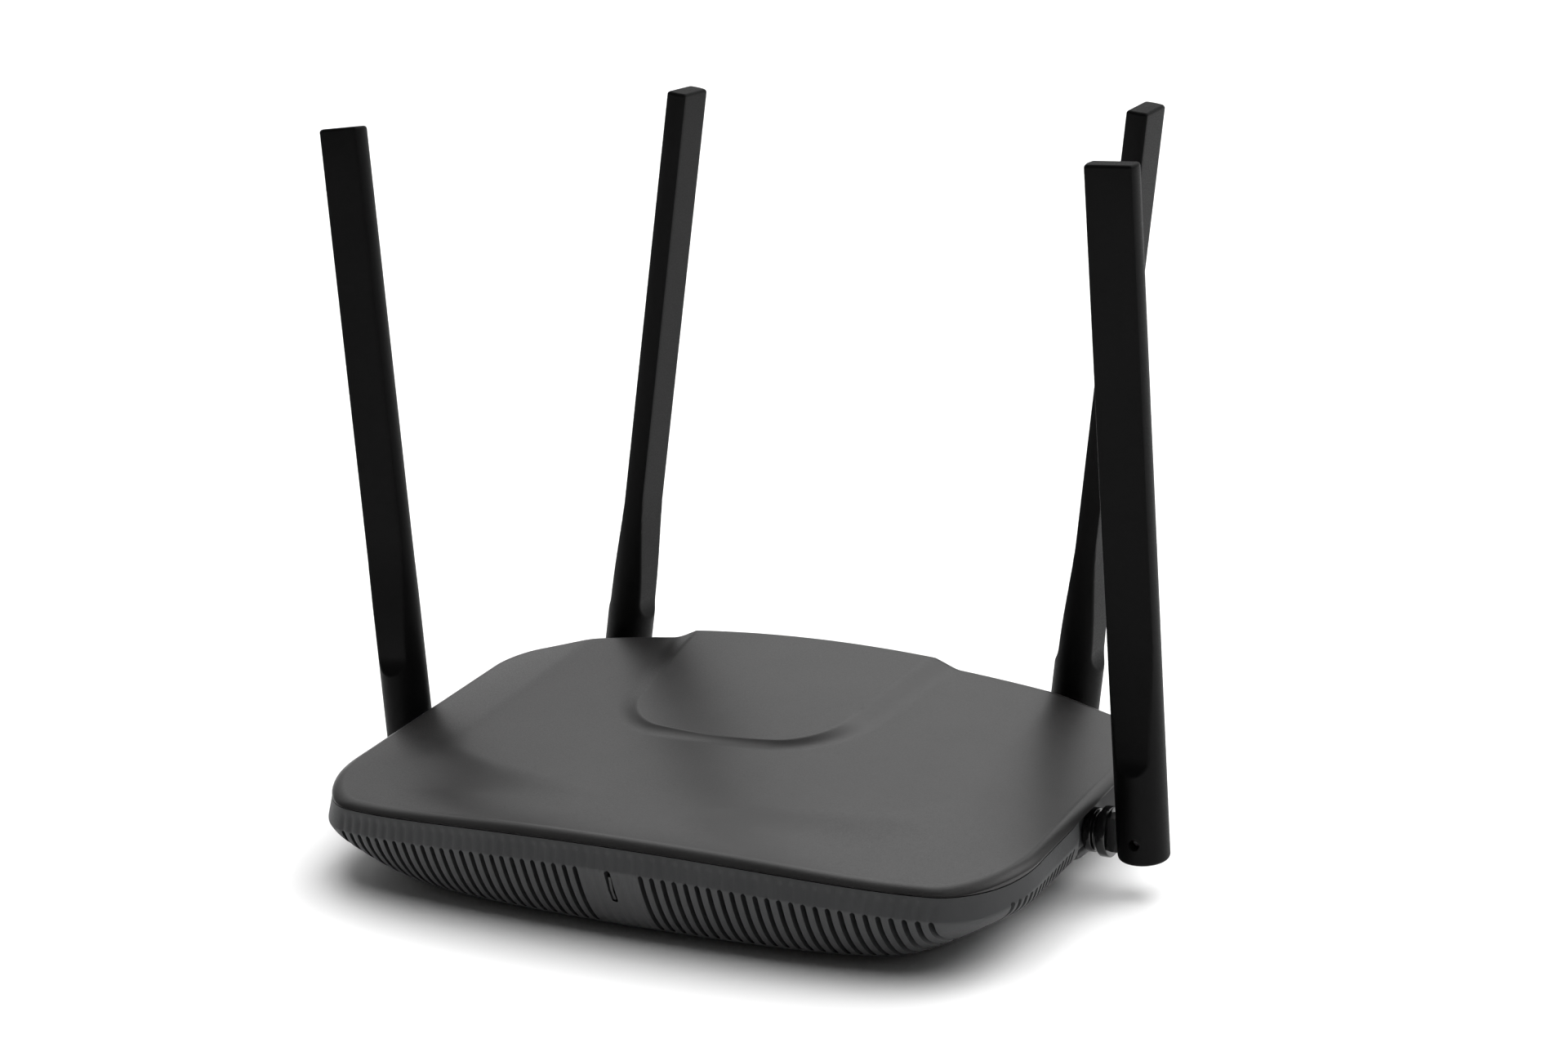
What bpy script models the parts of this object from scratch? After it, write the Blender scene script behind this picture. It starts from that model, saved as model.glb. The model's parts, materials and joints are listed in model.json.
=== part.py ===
"""A wireless router with four folding antennas, modelled as its separate pieces.

Metres, +Z up. The origin is the centre of the case's flat underside, +X is the
router's right as it faces forwards, and -Y is its front. The rubber feet reach a
little below the origin.
"""

import math

import bmesh
import bpy
from mathutils import Euler, Matrix, Vector

MM = 0.001

# Body, as the parting line between the cover and the case.
HALF_WIDTH = 110 * MM
FRONT = -61.6 * MM
REAR = 63.4 * MM
FRONT_CORNER_X = 92 * MM
FRONT_CORNER_Y = -24 * MM
REAR_CORNER = 10 * MM
PARTING_HEIGHT = 28.9 * MM
PARTING_GAP = 0.45 * MM
WALL = 2 * MM
SHOULDER_INSET = 3.3 * MM
SHOULDER_DROP = 2.2 * MM

# Ventilation slots, in two rows along the front and one along each side.
SLOT_PITCH = 3.42 * MM
SLOT_WIDTH = 1.5 * MM
SLOT_BOTTOM = 2.8 * MM
FRONT_SLOTS = 25
FIRST_SLOT = 3
SIDE_PITCH = 2.5 * MM
SIDE_SLOT_WIDTH = 1.1 * MM
SIDE_SLOTS = 15
SIDE_SLOT_START = -38.5 * MM
SIDE_SLOT_BOTTOM = 5.4 * MM
WALL_TURN = 14.4 * MM

# Antennas. Each hinge has a knuckle that turns in the case wall and a pin that the
# antenna tilts on. Heights are above the underside.
BARREL = 7.25 * MM
ANTENNA_LENGTH = 186.7 * MM
ANTENNA_FOOT = 6.3 * MM
FOOT_EDGE = 1.2 * MM
BLADE_HALF = 3.13 * MM
SCOOP = 20 * MM
SCOOP_RUNOUT = 6 * MM
FOOT_ROUND = 3.5 * MM
KNUCKLE_REACH = 15.6 * MM
TONGUE = 4.8 * MM
EYE = 5 * MM
PIN = 1.3 * MM
HINGE_HOLE = 3.9 * MM
SIDE_HINGE = Vector((120.7, 20.4, 16.0)) * MM
REAR_HINGE = Vector((76.3, 76.5, 22.3)) * MM

# name, hinge point, heading of the hinge axis, swivel and tilt at rest, in degrees
ANTENNAS = [
    ("right", Vector((SIDE_HINGE.x, SIDE_HINGE.y, SIDE_HINGE.z)), 0, 0.0, -0.7),
    ("left", Vector((-SIDE_HINGE.x, SIDE_HINGE.y, SIDE_HINGE.z)), 180, 7.7, 6.0),
    ("rear_left", Vector((-REAR_HINGE.x, REAR_HINGE.y, REAR_HINGE.z)), 90, 9.9, 3.3),
    ("rear_right", Vector((REAR_HINGE.x, REAR_HINGE.y, REAR_HINGE.z)), 90, 9.2, -0.3),
]

# Feet, screws and the circuit board.
FOOT_RADIUS = 5.5 * MM
FOOT_DROP = 1.5 * MM
FEET = [(sx * 72 * MM, y * MM) for sx in (-1, 1) for y in (-26, 48)]
SCREWS = [(sx * x * MM, y * MM) for sx in (-1, 1) for x, y in ((58, -31), (78, 30))]
POST = 3.4 * MM
POST_BOTTOM = 8.3 * MM
BOARD = (136 * MM, 82 * MM, 1.6 * MM)
BOARD_CENTRE_Y = 16 * MM
BOARD_BOTTOM = 6.3 * MM
BOARD_TOP = BOARD_BOTTOM + BOARD[2]
GAP = 0.3 * MM

# Rear panel, from +X to -X.
JACK_FACE = REAR - 0.4 * MM
JACK_BOTTOM = BOARD_TOP + GAP
PORT_PITCH = 15.4 * MM
PORT = (11.8 * MM, 12 * MM, 8.6 * MM)
PORT_FLOOR = JACK_BOTTOM + 2.2 * MM
JACK_DEPTH = 16 * MM
JACK_HEIGHT = 13.4 * MM
LAN_X = 17 * MM
WAN_X = -26 * MM
POWER_BUTTON_X = -41 * MM
POWER_JACK_X = -53 * MM
WPS_X = 55 * MM
RESET_X = 62 * MM
BUTTON_Z = 14.5 * MM

PARTS = "wireless_router"
CUTTERS = "cutters"


# ---------------------------------------------------------------- shape of the body


def smoothstep(low, high, value):
    t = min(max((value - low) / (high - low), 0.0), 1.0)
    return t * t * (3 - 2 * t)


def soft_min(a, b, softness):
    h = max(softness - abs(a - b), 0.0) / softness
    return min(a, b) - h * h * softness / 4


def soft_max(a, b, softness):
    return -soft_min(-a, -b, softness)


def bezier(points, t):
    a, b, c, d = points
    s = 1 - t
    return a * s**3 + b * 3 * s * s * t + c * 3 * s * t * t + d * t**3


def front_line(x):
    """The front edge of the parting line in plan, bowed forwards in the middle."""
    t = x / HALF_WIDTH
    return FRONT + (6.4 * t**2 + 9.6 * t**6) * MM


def front_arch(x):
    """How far the front edge drops below its middle."""
    t = min(abs(x) / HALF_WIDTH, 1.0)
    return (-7.0 * t**2 + 1.5 * t**4) * MM


def side_height(y):
    """Height of the top surface's edge along the sides."""
    return 28.3 * MM + 0.03 * y


def spread(start, end, steps):
    """Evenly spaced values from start up to, but not including, end."""
    return [start + (end - start) * i / steps for i in range(steps)]


def half_outline(front, corner, side, rear_corner, rear):
    """The parting line's right half in plan, from the front middle to the rear middle.
    Front and the corners are counts. Side and rear are lists of Y and X."""
    points = []
    for i in range(front):
        x = FRONT_CORNER_X * i / front
        points.append(Vector((x, front_line(x))))
    start = Vector((FRONT_CORNER_X, front_line(FRONT_CORNER_X)))
    end = Vector((HALF_WIDTH, FRONT_CORNER_Y))
    along = Vector((1, 0.31)).normalized() * 10 * MM
    handles = (start, start + along, end - Vector((0, 12 * MM)), end)
    for i in range(corner):
        points.append(bezier(handles, i / corner))
    points += [Vector((HALF_WIDTH, y)) for y in side]
    centre = Vector((HALF_WIDTH - REAR_CORNER, REAR - REAR_CORNER))
    for i in range(rear_corner):
        angle = math.pi / 2 * i / rear_corner
        points.append(centre + Vector((math.cos(angle), math.sin(angle))) * REAR_CORNER)
    return points + [Vector((x, REAR)) for x in rear]


def outline(near_hinges):
    """The whole parting line in plan, anticlockwise seen from above. Near the hinges it
    can have more points, for the seats that the case wall has there."""
    side = spread(FRONT_CORNER_Y, REAR - REAR_CORNER, 9)
    level = REAR_HINGE.x + 14 * MM
    corner = spread(HALF_WIDTH - REAR_CORNER, level, 2)
    rear = spread(level, 0, 7) + [0]
    if near_hinges:
        reach = 14 * MM
        y = SIDE_HINGE.y
        side = spread(FRONT_CORNER_Y, y - reach, 3) + spread(y - reach, y + reach, 8)
        side += spread(y + reach, REAR - REAR_CORNER, 3)
        x = REAR_HINGE.x
        rear = spread(level, x - reach, 8) + spread(x - reach, 0, 3) + [0]
    half = half_outline(10, 5, side, 3, corner + rear)
    return half + [Vector((-p.x, p.y)) for p in reversed(half[1:-1])]


def inset(point, side, front, rear):
    """Moves a point of the outline inwards, by the side, front and rear amounts."""
    depth = REAR - FRONT
    from_rear = (REAR - point.y) / depth
    return Vector(
        (point.x * (1 - side / HALF_WIDTH), point.y + front * from_rear - rear * (1 - from_rear))
    )


def parting_height(x, y):
    front = PARTING_HEIGHT + front_arch(x)
    side = side_height(y) - SHOULDER_DROP - 0.3 * MM
    rear = 31 * MM
    height = front + (side - front) * smoothstep(-46 * MM, -20 * MM, y)
    at_rear = smoothstep(50 * MM, 61 * MM, y) * smoothstep(104 * MM, 90 * MM, abs(x))
    return height + (rear - height) * at_rear


def main_sheet(x, y):
    """The crowned sheet between the two outer folds."""
    behind = max(y - front_line(x) - SHOULDER_INSET, 0.0)
    rise = 0.075 * behind + 2.6 * MM * (1 - math.exp(-behind / (14 * MM)))
    back = ((y + 60 * MM) / (120 * MM)) ** 2
    cross = (1.87 - 4.28 * (x / (100 * MM)) ** 2) * MM
    return PARTING_HEIGHT + SHOULDER_DROP + front_arch(x) + rise + back * cross


def outer_sheet(x, y):
    """The sheets outside the folds, falling to the side edges."""
    across = 106.7 * MM - abs(x)
    ahead = max(-6 * MM - y, 0.0) / MM
    slope = soft_max(0.197 + 0.00121 * (y / MM + 6) - 0.9e-4 * ahead**2, 0.07, 0.06)
    return side_height(y) + slope * across + 0.3 * across**2


def tongue_distance(x, y):
    """Distance outside the raised tongue's rounded outline, negative inside."""
    corner = 13 * MM
    half = 34 * MM + 0.131 * (y - 18.4 * MM)
    front = -1.8 * MM + 4.5 * x * x
    a = abs(x) - half + corner
    b = front - y + corner
    return math.hypot(max(a, 0.0), max(b, 0.0)) + min(max(a, b), 0.0) - corner


def top_height(x, y):
    """The cover's outer surface."""
    softness = (0.5 + 2.5 * smoothstep(-20 * MM, -50 * MM, y)) * MM
    base = soft_min(main_sheet(x, y), outer_sheet(x, y), softness)
    along = (y + 1.5 * MM) / (60 * MM)
    crown = 1.6 * MM * along * (1 - (x / (39 * MM)) ** 2)
    raised = 39.2 * MM + 5.9 * MM * along + crown
    raised -= 0.36 * max(tongue_distance(x, y), 0.0)
    return soft_max(base, raised, 0.5 * MM)


def hinge_limit(x, y, z):
    """Keeps the case wall behind each hinge flat and clear of its knuckle, and upright
    above it."""
    above = 4.3 * MM
    if abs(x) > 85 * MM:
        away = math.hypot(y - SIDE_HINGE.y, min(z - SIDE_HINGE.z, above))
        seat = SIDE_HINGE.x - KNUCKLE_REACH - 0.3 * MM + 0.6 * max(away - 11.5 * MM, 0.0)
        return Vector((math.copysign(min(abs(x), seat), x), y, z))
    away = math.hypot(abs(x) - REAR_HINGE.x, min(z - REAR_HINGE.z, above))
    seat = REAR_HINGE.y - KNUCKLE_REACH - 0.3 * MM + 0.6 * max(away - 11.5 * MM, 0.0)
    return Vector((x, min(y, seat), z))


def side_inset(belly, height):
    """How far in the side wall stands: steep under the belly, then a flatter slope."""
    below = belly - height
    steep = -1.0 * MM + 0.3 * below + 10.7 * below**2
    slope = 1.8 * MM + 1.54 * (WALL_TURN - height)
    return soft_max(steep, slope, 2.5 * MM)


def hull_point(point, t):
    """A point of the case's outer surface. t runs from -1 at the parting line through
    0 at the belly, its widest line, to 1 at the flat underside."""
    top = parting_height(point.x, point.y) - PARTING_GAP / 2
    sideways = smoothstep(-50 * MM, -25 * MM, point.y)
    backwards = smoothstep(58 * MM, 63 * MM, point.y)
    belly = top - (6.2 - 2.0 * sideways) * MM
    if t <= 0:
        side = -1.0 * MM * (t + 1)
        front = -1.8 * MM * (t + 1)
        rear = 0.0
        height = top + (belly - top) * (t + 1)
    else:
        front = bezier((-1.8 * MM, 0.4 * MM, 5.2 * MM, 15.7 * MM), t)
        rear = bezier((0.0, 0.0, 0.0, 2 * MM), t)
        height = belly * bezier((1.0, 0.6 - 0.1 * backwards, 0.0, 0.0), t)
        side = side_inset(belly, height)
    flat = inset(point, side, front, rear)
    return hinge_limit(flat.x, flat.y, height)


# ---------------------------------------------------------------- building tools


def material(name, colour, roughness, metallic=0.0):
    found = bpy.data.materials.get(name)
    if found:
        return found
    made = bpy.data.materials.new(name)
    made.use_nodes = True
    shader = made.node_tree.nodes["Principled BSDF"]
    shader.inputs["Base Color"].default_value = (*colour, 1.0)
    shader.inputs["Roughness"].default_value = roughness
    shader.inputs["Metallic"].default_value = metallic
    made.diffuse_color = (*colour, 1.0)
    return made


def cover_black():
    return material("cover_plastic", (0.016, 0.016, 0.017), 0.42)


def case_black():
    return material("case_plastic", (0.035, 0.035, 0.036), 0.6)


def antenna_black():
    return material("antenna_plastic", (0.009, 0.009, 0.01), 0.5)


def knuckle_black():
    return material("knuckle_plastic", (0.01, 0.01, 0.01), 0.2)


def rubber():
    return material("rubber", (0.02, 0.02, 0.02), 0.85)


def steel():
    return material("steel", (0.55, 0.55, 0.56), 0.35, 1.0)


def tinplate():
    return material("tinplate", (0.7, 0.7, 0.69), 0.3, 1.0)


def board_green():
    return material("circuit_board", (0.02, 0.11, 0.05), 0.45)


def chip_black():
    return material("component_black", (0.02, 0.02, 0.022), 0.5)


def jack_black():
    return material("jack_plastic", (0.05, 0.05, 0.055), 0.45)


def clear():
    return material("light_pipe_clear", (0.75, 0.77, 0.8), 0.1)


def aluminium():
    return material("aluminium", (0.75, 0.76, 0.77), 0.4, 1.0)


def collection(name):
    found = bpy.data.collections.get(name)
    if not found:
        found = bpy.data.collections.new(name)
        bpy.context.scene.collection.children.link(found)
    return found


def add_object(name, mesh, finish):
    made = bpy.data.objects.new(name, mesh)
    collection(PARTS).objects.link(made)
    if finish:
        mesh.materials.append(finish)
    return made


def mesh_from(name, shape):
    mesh = bpy.data.meshes.new(name)
    shape.normal_update()
    shape.to_mesh(mesh)
    shape.free()
    return mesh


def smooth(made, degrees=35):
    made.data.shade_smooth()
    made.data.set_sharp_from_angle(angle=math.radians(degrees))
    return made


def block_mesh(name, size, centre):
    shape = bmesh.new()
    bmesh.ops.create_cube(shape, size=1.0)
    bmesh.ops.scale(shape, vec=size, verts=shape.verts)
    bmesh.ops.translate(shape, vec=centre, verts=shape.verts)
    return mesh_from(name, shape)


def block(name, size, centre, finish, bevel=0.0):
    """A box with its origin at the world's, so that its numbers read as places."""
    made = add_object(name, block_mesh(name, size, centre), finish)
    if bevel:
        rounding = made.modifiers.new("edges", "BEVEL")
        rounding.width = bevel
        rounding.segments = 1
        rounding.limit_method = "ANGLE"
    return made


TURN = {
    "X": Matrix.Rotation(math.pi / 2, 3, "Y"),
    "Y": Matrix.Rotation(-math.pi / 2, 3, "X"),
    "Z": Matrix.Identity(3),
}


def rod_mesh(name, radius, length, centre, axis, sides, end_radius=None):
    shape = bmesh.new()
    bmesh.ops.create_cone(
        shape,
        cap_ends=True,
        segments=sides,
        radius1=radius,
        radius2=radius if end_radius is None else end_radius,
        depth=length,
    )
    bmesh.ops.rotate(shape, matrix=TURN[axis], verts=shape.verts)
    bmesh.ops.translate(shape, vec=centre, verts=shape.verts)
    return mesh_from(name, shape)


def rod(name, radius, length, centre, axis, finish, sides=20, end_radius=None):
    """A cylinder or cone along an axis, its centre at the given point."""
    mesh = rod_mesh(name, radius, length, centre, axis, sides, end_radius)
    return smooth(add_object(name, mesh, finish))


def extruded(name, points, thickness, finish, plane="YZ"):
    """A flat polygon with a thickness, centred on its plane."""
    shape = bmesh.new()
    half = thickness / 2
    place = {
        "YZ": lambda a, b: (-half, a, b),
        "XZ": lambda a, b: (a, half, b),
        "XY": lambda a, b: (a, b, -half),
    }[plane]
    face = shape.faces.new([shape.verts.new(place(a, b)) for a, b in points])
    push = {"YZ": (thickness, 0, 0), "XZ": (0, -thickness, 0), "XY": (0, 0, thickness)}[plane]
    grown = bmesh.ops.extrude_face_region(shape, geom=[face])
    moved = [item for item in grown["geom"] if isinstance(item, bmesh.types.BMVert)]
    bmesh.ops.translate(shape, vec=push, verts=moved)
    bmesh.ops.recalc_face_normals(shape, faces=shape.faces)
    return add_object(name, mesh_from(name, shape), finish)


def loft(name, rings, finish, close_start=False, close_end=False):
    """A skin over rings of equally many points, each ring anticlockwise round the loft."""
    shape = bmesh.new()
    rows = [[shape.verts.new(p) for p in ring] for ring in rings]
    for low, high in zip(rows, rows[1:]):
        count = len(low)
        for i in range(count):
            j = (i + 1) % count
            shape.faces.new((low[i], low[j], high[j], high[i]))
    if close_start:
        shape.faces.new(list(reversed(rows[0])))
    if close_end:
        shape.faces.new(rows[-1])
    return add_object(name, mesh_from(name, shape), finish)


def helper(made):
    """Turns an object into a cutter or a piece to be joined."""
    for user in list(made.users_collection):
        user.objects.unlink(made)
    collection(CUTTERS).objects.link(made)
    made.hide_render = True
    made.display_type = "WIRE"
    return made


def merge_meshes(name, meshes):
    """One helper holding several bodies that don't touch each other."""
    shape = bmesh.new()
    for mesh in meshes:
        shape.from_mesh(mesh)
        bpy.data.meshes.remove(mesh)
    return helper(add_object(name, mesh_from(name, shape), None))


def boolean(made, other, operation):
    """The case has so many fine cuts that only the MANIFOLD solver keeps it closed."""
    step = made.modifiers.new(f"{operation.lower()} {other.name}", "BOOLEAN")
    step.operation = operation
    step.object = other
    step.solver = "MANIFOLD" if made.name == "bottom_case" else "EXACT"


def cut(made, name, meshes):
    boolean(made, merge_meshes(name, meshes), "DIFFERENCE")


def join(made, name, meshes):
    boolean(made, merge_meshes(name, meshes), "UNION")


def thicken(made):
    """Gives an open outer skin the wall thickness, inwards."""
    step = made.modifiers.new("wall", "SOLIDIFY")
    step.thickness = WALL
    step.offset = -1
    step.use_even_offset = True


# ---------------------------------------------------------------- cover and case


def build_top_cover():
    plan = outline(False)
    rings = []
    for level in (0.0, 1.0):
        ring = []
        for p in plan:
            low = parting_height(p.x, p.y) + PARTING_GAP / 2
            edge = inset(p, SHOULDER_INSET, SHOULDER_INSET, SHOULDER_INSET)
            high = max(top_height(edge.x, edge.y) - SHOULDER_DROP, low + 0.15 * MM)
            ring.append((p.x, p.y, low + (high - low) * level))
        rings.append(ring)
    turn = math.radians(50)
    ring = []
    for p, low in zip(plan, rings[1]):
        edge = inset(p, SHOULDER_INSET, SHOULDER_INSET, SHOULDER_INSET)
        part = p.lerp(edge, 1 - math.cos(turn))
        ring.append((*part, low[2] + (top_height(edge.x, edge.y) - low[2]) * math.sin(turn)))
    rings.append(ring)
    for scale in (1.0, 0.88, 0.76, 0.62, 0.48, 0.34, 0.2, 0.08):
        ring = []
        for p in plan:
            edge = inset(p, SHOULDER_INSET, SHOULDER_INSET, SHOULDER_INSET) * scale
            ring.append((*edge, top_height(edge.x, edge.y)))
        rings.append(ring)
    made = loft("top_cover", rings, cover_black(), close_end=True)
    thicken(made)
    posts = []
    holes = []
    for x, y in SCREWS:
        ceiling = top_height(abs(x) + POST, y) - 0.8 * MM
        length = ceiling - POST_BOTTOM
        centre = (x, y, POST_BOTTOM + length / 2)
        posts.append(rod_mesh("post", POST, length, centre, "Z", 12))
        holes.append(rod_mesh("pilot", 1.8 * MM, 16 * MM, (x, y, POST_BOTTOM + 7 * MM), "Z", 12))
    join(made, "cover_posts", posts)
    cut(made, "cover_pilot_holes", holes)
    smooth(made)


def slot_top(x):
    return parting_height(x, front_line(x)) - 6.2 * MM


def slot_cutters():
    """Front slots to both sides of the plain middle, and the row along each side."""
    cutters = []
    for side in (-1, 1):
        for k in range(FRONT_SLOTS):
            x = side * (FIRST_SLOT + k) * SLOT_PITCH
            top = slot_top(x)
            front = front_line(x) - 4 * MM
            back = front_line(x) + 12.5 * MM
            size = (SLOT_WIDTH, back - front, top - SLOT_BOTTOM)
            centre = (x, (front + back) / 2, (top + SLOT_BOTTOM) / 2)
            cutters.append(block_mesh("slot", size, centre))
        for k in range(SIDE_SLOTS):
            y = SIDE_SLOT_START + k * SIDE_PITCH
            top = side_height(y) - SHOULDER_DROP - 5.5 * MM
            size = (30 * MM, SIDE_SLOT_WIDTH, top - SIDE_SLOT_BOTTOM)
            centre = (side * 99 * MM, y, (top + SIDE_SLOT_BOTTOM) / 2)
            cutters.append(block_mesh("slot", size, centre))
    return cutters


def hinge_places(along):
    """The point at a distance along each hinge's axis from its pin, and that axis."""
    for name, point, heading, _, _ in ANTENNAS:
        outward = Vector((math.cos(math.radians(heading)), math.sin(math.radians(heading)), 0))
        yield name, point + outward * along, "Y" if heading == 90 else "X"


def rear_openings():
    """Openings in the case's rear wall, a little larger than what shows in them."""
    deep = 8 * MM
    cutters = []
    for x, width, height, z in (
        (LAN_X, 4 * PORT_PITCH + 0.6 * MM, JACK_HEIGHT + 0.6 * MM, JACK_BOTTOM + JACK_HEIGHT / 2),
        (WAN_X, PORT_PITCH + 0.6 * MM, JACK_HEIGHT + 0.6 * MM, JACK_BOTTOM + JACK_HEIGHT / 2),
        (POWER_JACK_X, 9.6 * MM, 11.6 * MM, JACK_BOTTOM + 5.5 * MM),
        (POWER_BUTTON_X, 7.0 * MM, 7.0 * MM, BUTTON_Z),
    ):
        cutters.append(block_mesh("opening", (width, deep, height), (x, REAR, z)))
    cutters.append(rod_mesh("opening", 2.9 * MM, deep, (WPS_X, REAR, BUTTON_Z), "Y", 16))
    cutters.append(rod_mesh("opening", 1.1 * MM, deep, (RESET_X, REAR, BUTTON_Z), "Y", 12))
    return cutters


def build_bottom_case():
    plan = outline(True)
    levels = (-1, 0, 0.25, 0.55, 1)
    rings = [[hull_point(p, t) for p in plan] for t in reversed(levels)]
    made = loft("bottom_case", rings, case_black(), close_start=True)
    thicken(made)
    solid = []
    for _, place, axis in hinge_places(-KNUCKLE_REACH - 4.1 * MM):
        solid.append(rod_mesh("boss", 7.2 * MM, 7.5 * MM, place, axis, 20))
    for x, y in SCREWS:
        solid.append(rod_mesh("screw_boss", 5 * MM, 7 * MM, (x, y, 4.5 * MM), "Z", 12))
    for x in (-50 * MM, 50 * MM):
        for y in (-18 * MM, 36 * MM):
            solid.append(rod_mesh("standoff", 3 * MM, 5 * MM, (x, y, 3.5 * MM), "Z", 10))
    join(made, "case_bosses", solid)
    cut(made, "case_slots", slot_cutters())
    holes = rear_openings()
    for _, place, axis in hinge_places(-KNUCKLE_REACH - 3 * MM):
        holes.append(rod_mesh("hinge_hole", HINGE_HOLE, 12 * MM, place, axis, 16))
    for _, place, axis in hinge_places(-KNUCKLE_REACH - 7.6 * MM):
        holes.append(rod_mesh("clip_room", 5.8 * MM, 5.5 * MM, place, axis, 16))
    for x, y in SCREWS:
        holes.append(rod_mesh("head_hole", 3.7 * MM, 6 * MM, (x, y, 1.2 * MM), "Z", 12))
        holes.append(rod_mesh("screw_hole", 1.9 * MM, 12 * MM, (x, y, 5 * MM), "Z", 12))
    for x, y in FEET:
        holes.append(rod_mesh("foot_seat", FOOT_RADIUS + GAP, 2 * MM, (x, y, -0.4 * MM), "Z", 20))
    slit = (1.4 * MM, 14 * MM, 10 * MM)
    holes.append(block_mesh("light_slit", slit, (0, FRONT + 2 * MM, 17.5 * MM)))
    cut_each(made, "case_holes", holes)
    smooth(made)


def cut_each(made, name, meshes):
    """Cuts with bodies that touch each other, so each is a cutter of its own."""
    for i, mesh in enumerate(meshes):
        cut(made, f"{name}_{i:02d}", [mesh])


def build_feet_and_screws():
    for i, (x, y) in enumerate(FEET, 1):
        centre = (x, y, (0.3 * MM - FOOT_DROP) / 2)
        rod(f"rubber_foot_{i}", FOOT_RADIUS, 0.3 * MM + FOOT_DROP, centre, "Z", rubber(), 20)
    for i, (x, y) in enumerate(SCREWS, 1):
        profile = [(0, 18), (1.5, 18), (1.5, 3.9), (3.3, 3.9), (3.3, 2.6), (2.6, 2.0), (0, 2.0)]
        lathe(f"case_screw_{i}", profile, (x, y, 0), steel(), 12)


def lathe(name, profile, place, finish, steps=20, parent=None, turn=(0, 0, 0)):
    """A turned piece: a profile in millimetres as (radius, height), top to bottom."""
    shape = bmesh.new()
    points = [shape.verts.new((r * MM, 0, z * MM)) for r, z in profile]
    for a, b in zip(points, points[1:]):
        shape.edges.new((a, b))
    made = add_object(name, mesh_from(name, shape), finish)
    made.location = place
    made.rotation_euler = turn
    made.parent = parent
    step = made.modifiers.new("turned", "SCREW")
    step.steps = steps
    step.render_steps = steps
    step.use_merge_vertices = True
    step.merge_threshold = 0.00001
    step.use_smooth_shade = False
    return made


# ---------------------------------------------------------------- antennas


def antenna_section(height, radius, half, count):
    """A round section cut flat on two sides. X is the blade's width, Y its thickness."""
    half = min(half, radius * 0.999)
    open_angle = math.asin(half / radius)
    chord = radius * math.cos(open_angle)
    points = []
    for sign in (1, -1):
        for i in range(count):
            angle = open_angle * (2 * i / (count - 1) - 1)
            points.append((sign * radius * math.cos(angle), sign * radius * math.sin(angle), height))
        for i in range(1, count - 1):
            along = chord * (1 - 2 * i / (count - 1))
            bulge = math.sqrt(max(radius**2 - along**2, 0.0))
            points.append((sign * along, sign * min(half, bulge), height))
    return points


def blade_half(height):
    """Half the antenna's thickness at a height above its pin."""
    if height <= SCOOP:
        return BARREL
    flat = BLADE_HALF + 2.1 * MM * smoothstep(62 * MM, 24 * MM, height)
    runout = max(1 - (height - SCOOP) / SCOOP_RUNOUT, 0.0) ** 2.2
    return flat + (BARREL - flat) * runout


def build_antenna_shell(name, finish):
    count = 5
    heights = [0, 20, 21.2, 23.2, 26, 36, 48, 62]
    edge = FOOT_EDGE
    rings = [antenna_section(-ANTENNA_FOOT, BARREL - edge, BARREL, count)]
    rings.append(antenna_section(-ANTENNA_FOOT + edge, BARREL, BARREL, count))
    for height in heights[1:]:
        rings.append(antenna_section(height * MM, BARREL, blade_half(height * MM), count))
    end = ANTENNA_LENGTH
    rings.append(antenna_section(end - 1 * MM, BARREL, BLADE_HALF, count))
    rings.append(antenna_section(end, BARREL - 0.9 * MM, BLADE_HALF - 0.9 * MM, count))
    made = loft(name, rings, finish, close_start=True, close_end=True)
    inner = BARREL - 1.6 * MM
    cavity = [
        antenna_section(2 * MM, inner, BLADE_HALF - 1.3 * MM, 4),
        antenna_section(end - 3 * MM, inner, BLADE_HALF - 1.3 * MM, 4),
    ]
    boolean(made, helper(loft(f"{name}_cavity", cavity, None, True, True)), "DIFFERENCE")
    fork = 2 * (TONGUE / 2 + GAP)
    reach = EYE + 0.5 * MM
    slot = (reach + 12 * MM, fork, reach + 12 * MM)
    centre = ((reach - 12 * MM) / 2, 0, (reach - 12 * MM) / 2)
    cut(made, f"{name}_fork", [block_mesh("fork", slot, centre)])
    bore = rod_mesh("pin_hole", PIN + GAP, 20 * MM, (0, 0, 0), "Y", 10)
    cut(made, f"{name}_pin_hole", [bore])
    boolean(made, helper(foot_cutter(f"{name}_foot_round")), "DIFFERENCE")
    return made


def foot_cutter(name):
    """What is outside the round edge of the foot, on the side that turns past the knuckle."""
    beyond = 1.5 * MM
    low = -ANTENNA_FOOT
    points = [(-BARREL - beyond, low - beyond), (-BARREL - beyond, low + FOOT_ROUND)]
    steps = 5
    for i in range(steps + 1):
        angle = math.pi / 2 * i / steps
        across = -BARREL + FOOT_ROUND * (1 - math.cos(angle))
        points.append((across, low + FOOT_ROUND * (1 - math.sin(angle))))
    points.append((-BARREL + FOOT_ROUND, low - beyond))
    return extruded(name, points, 2 * (BARREL + beyond), None, "XZ")


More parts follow.
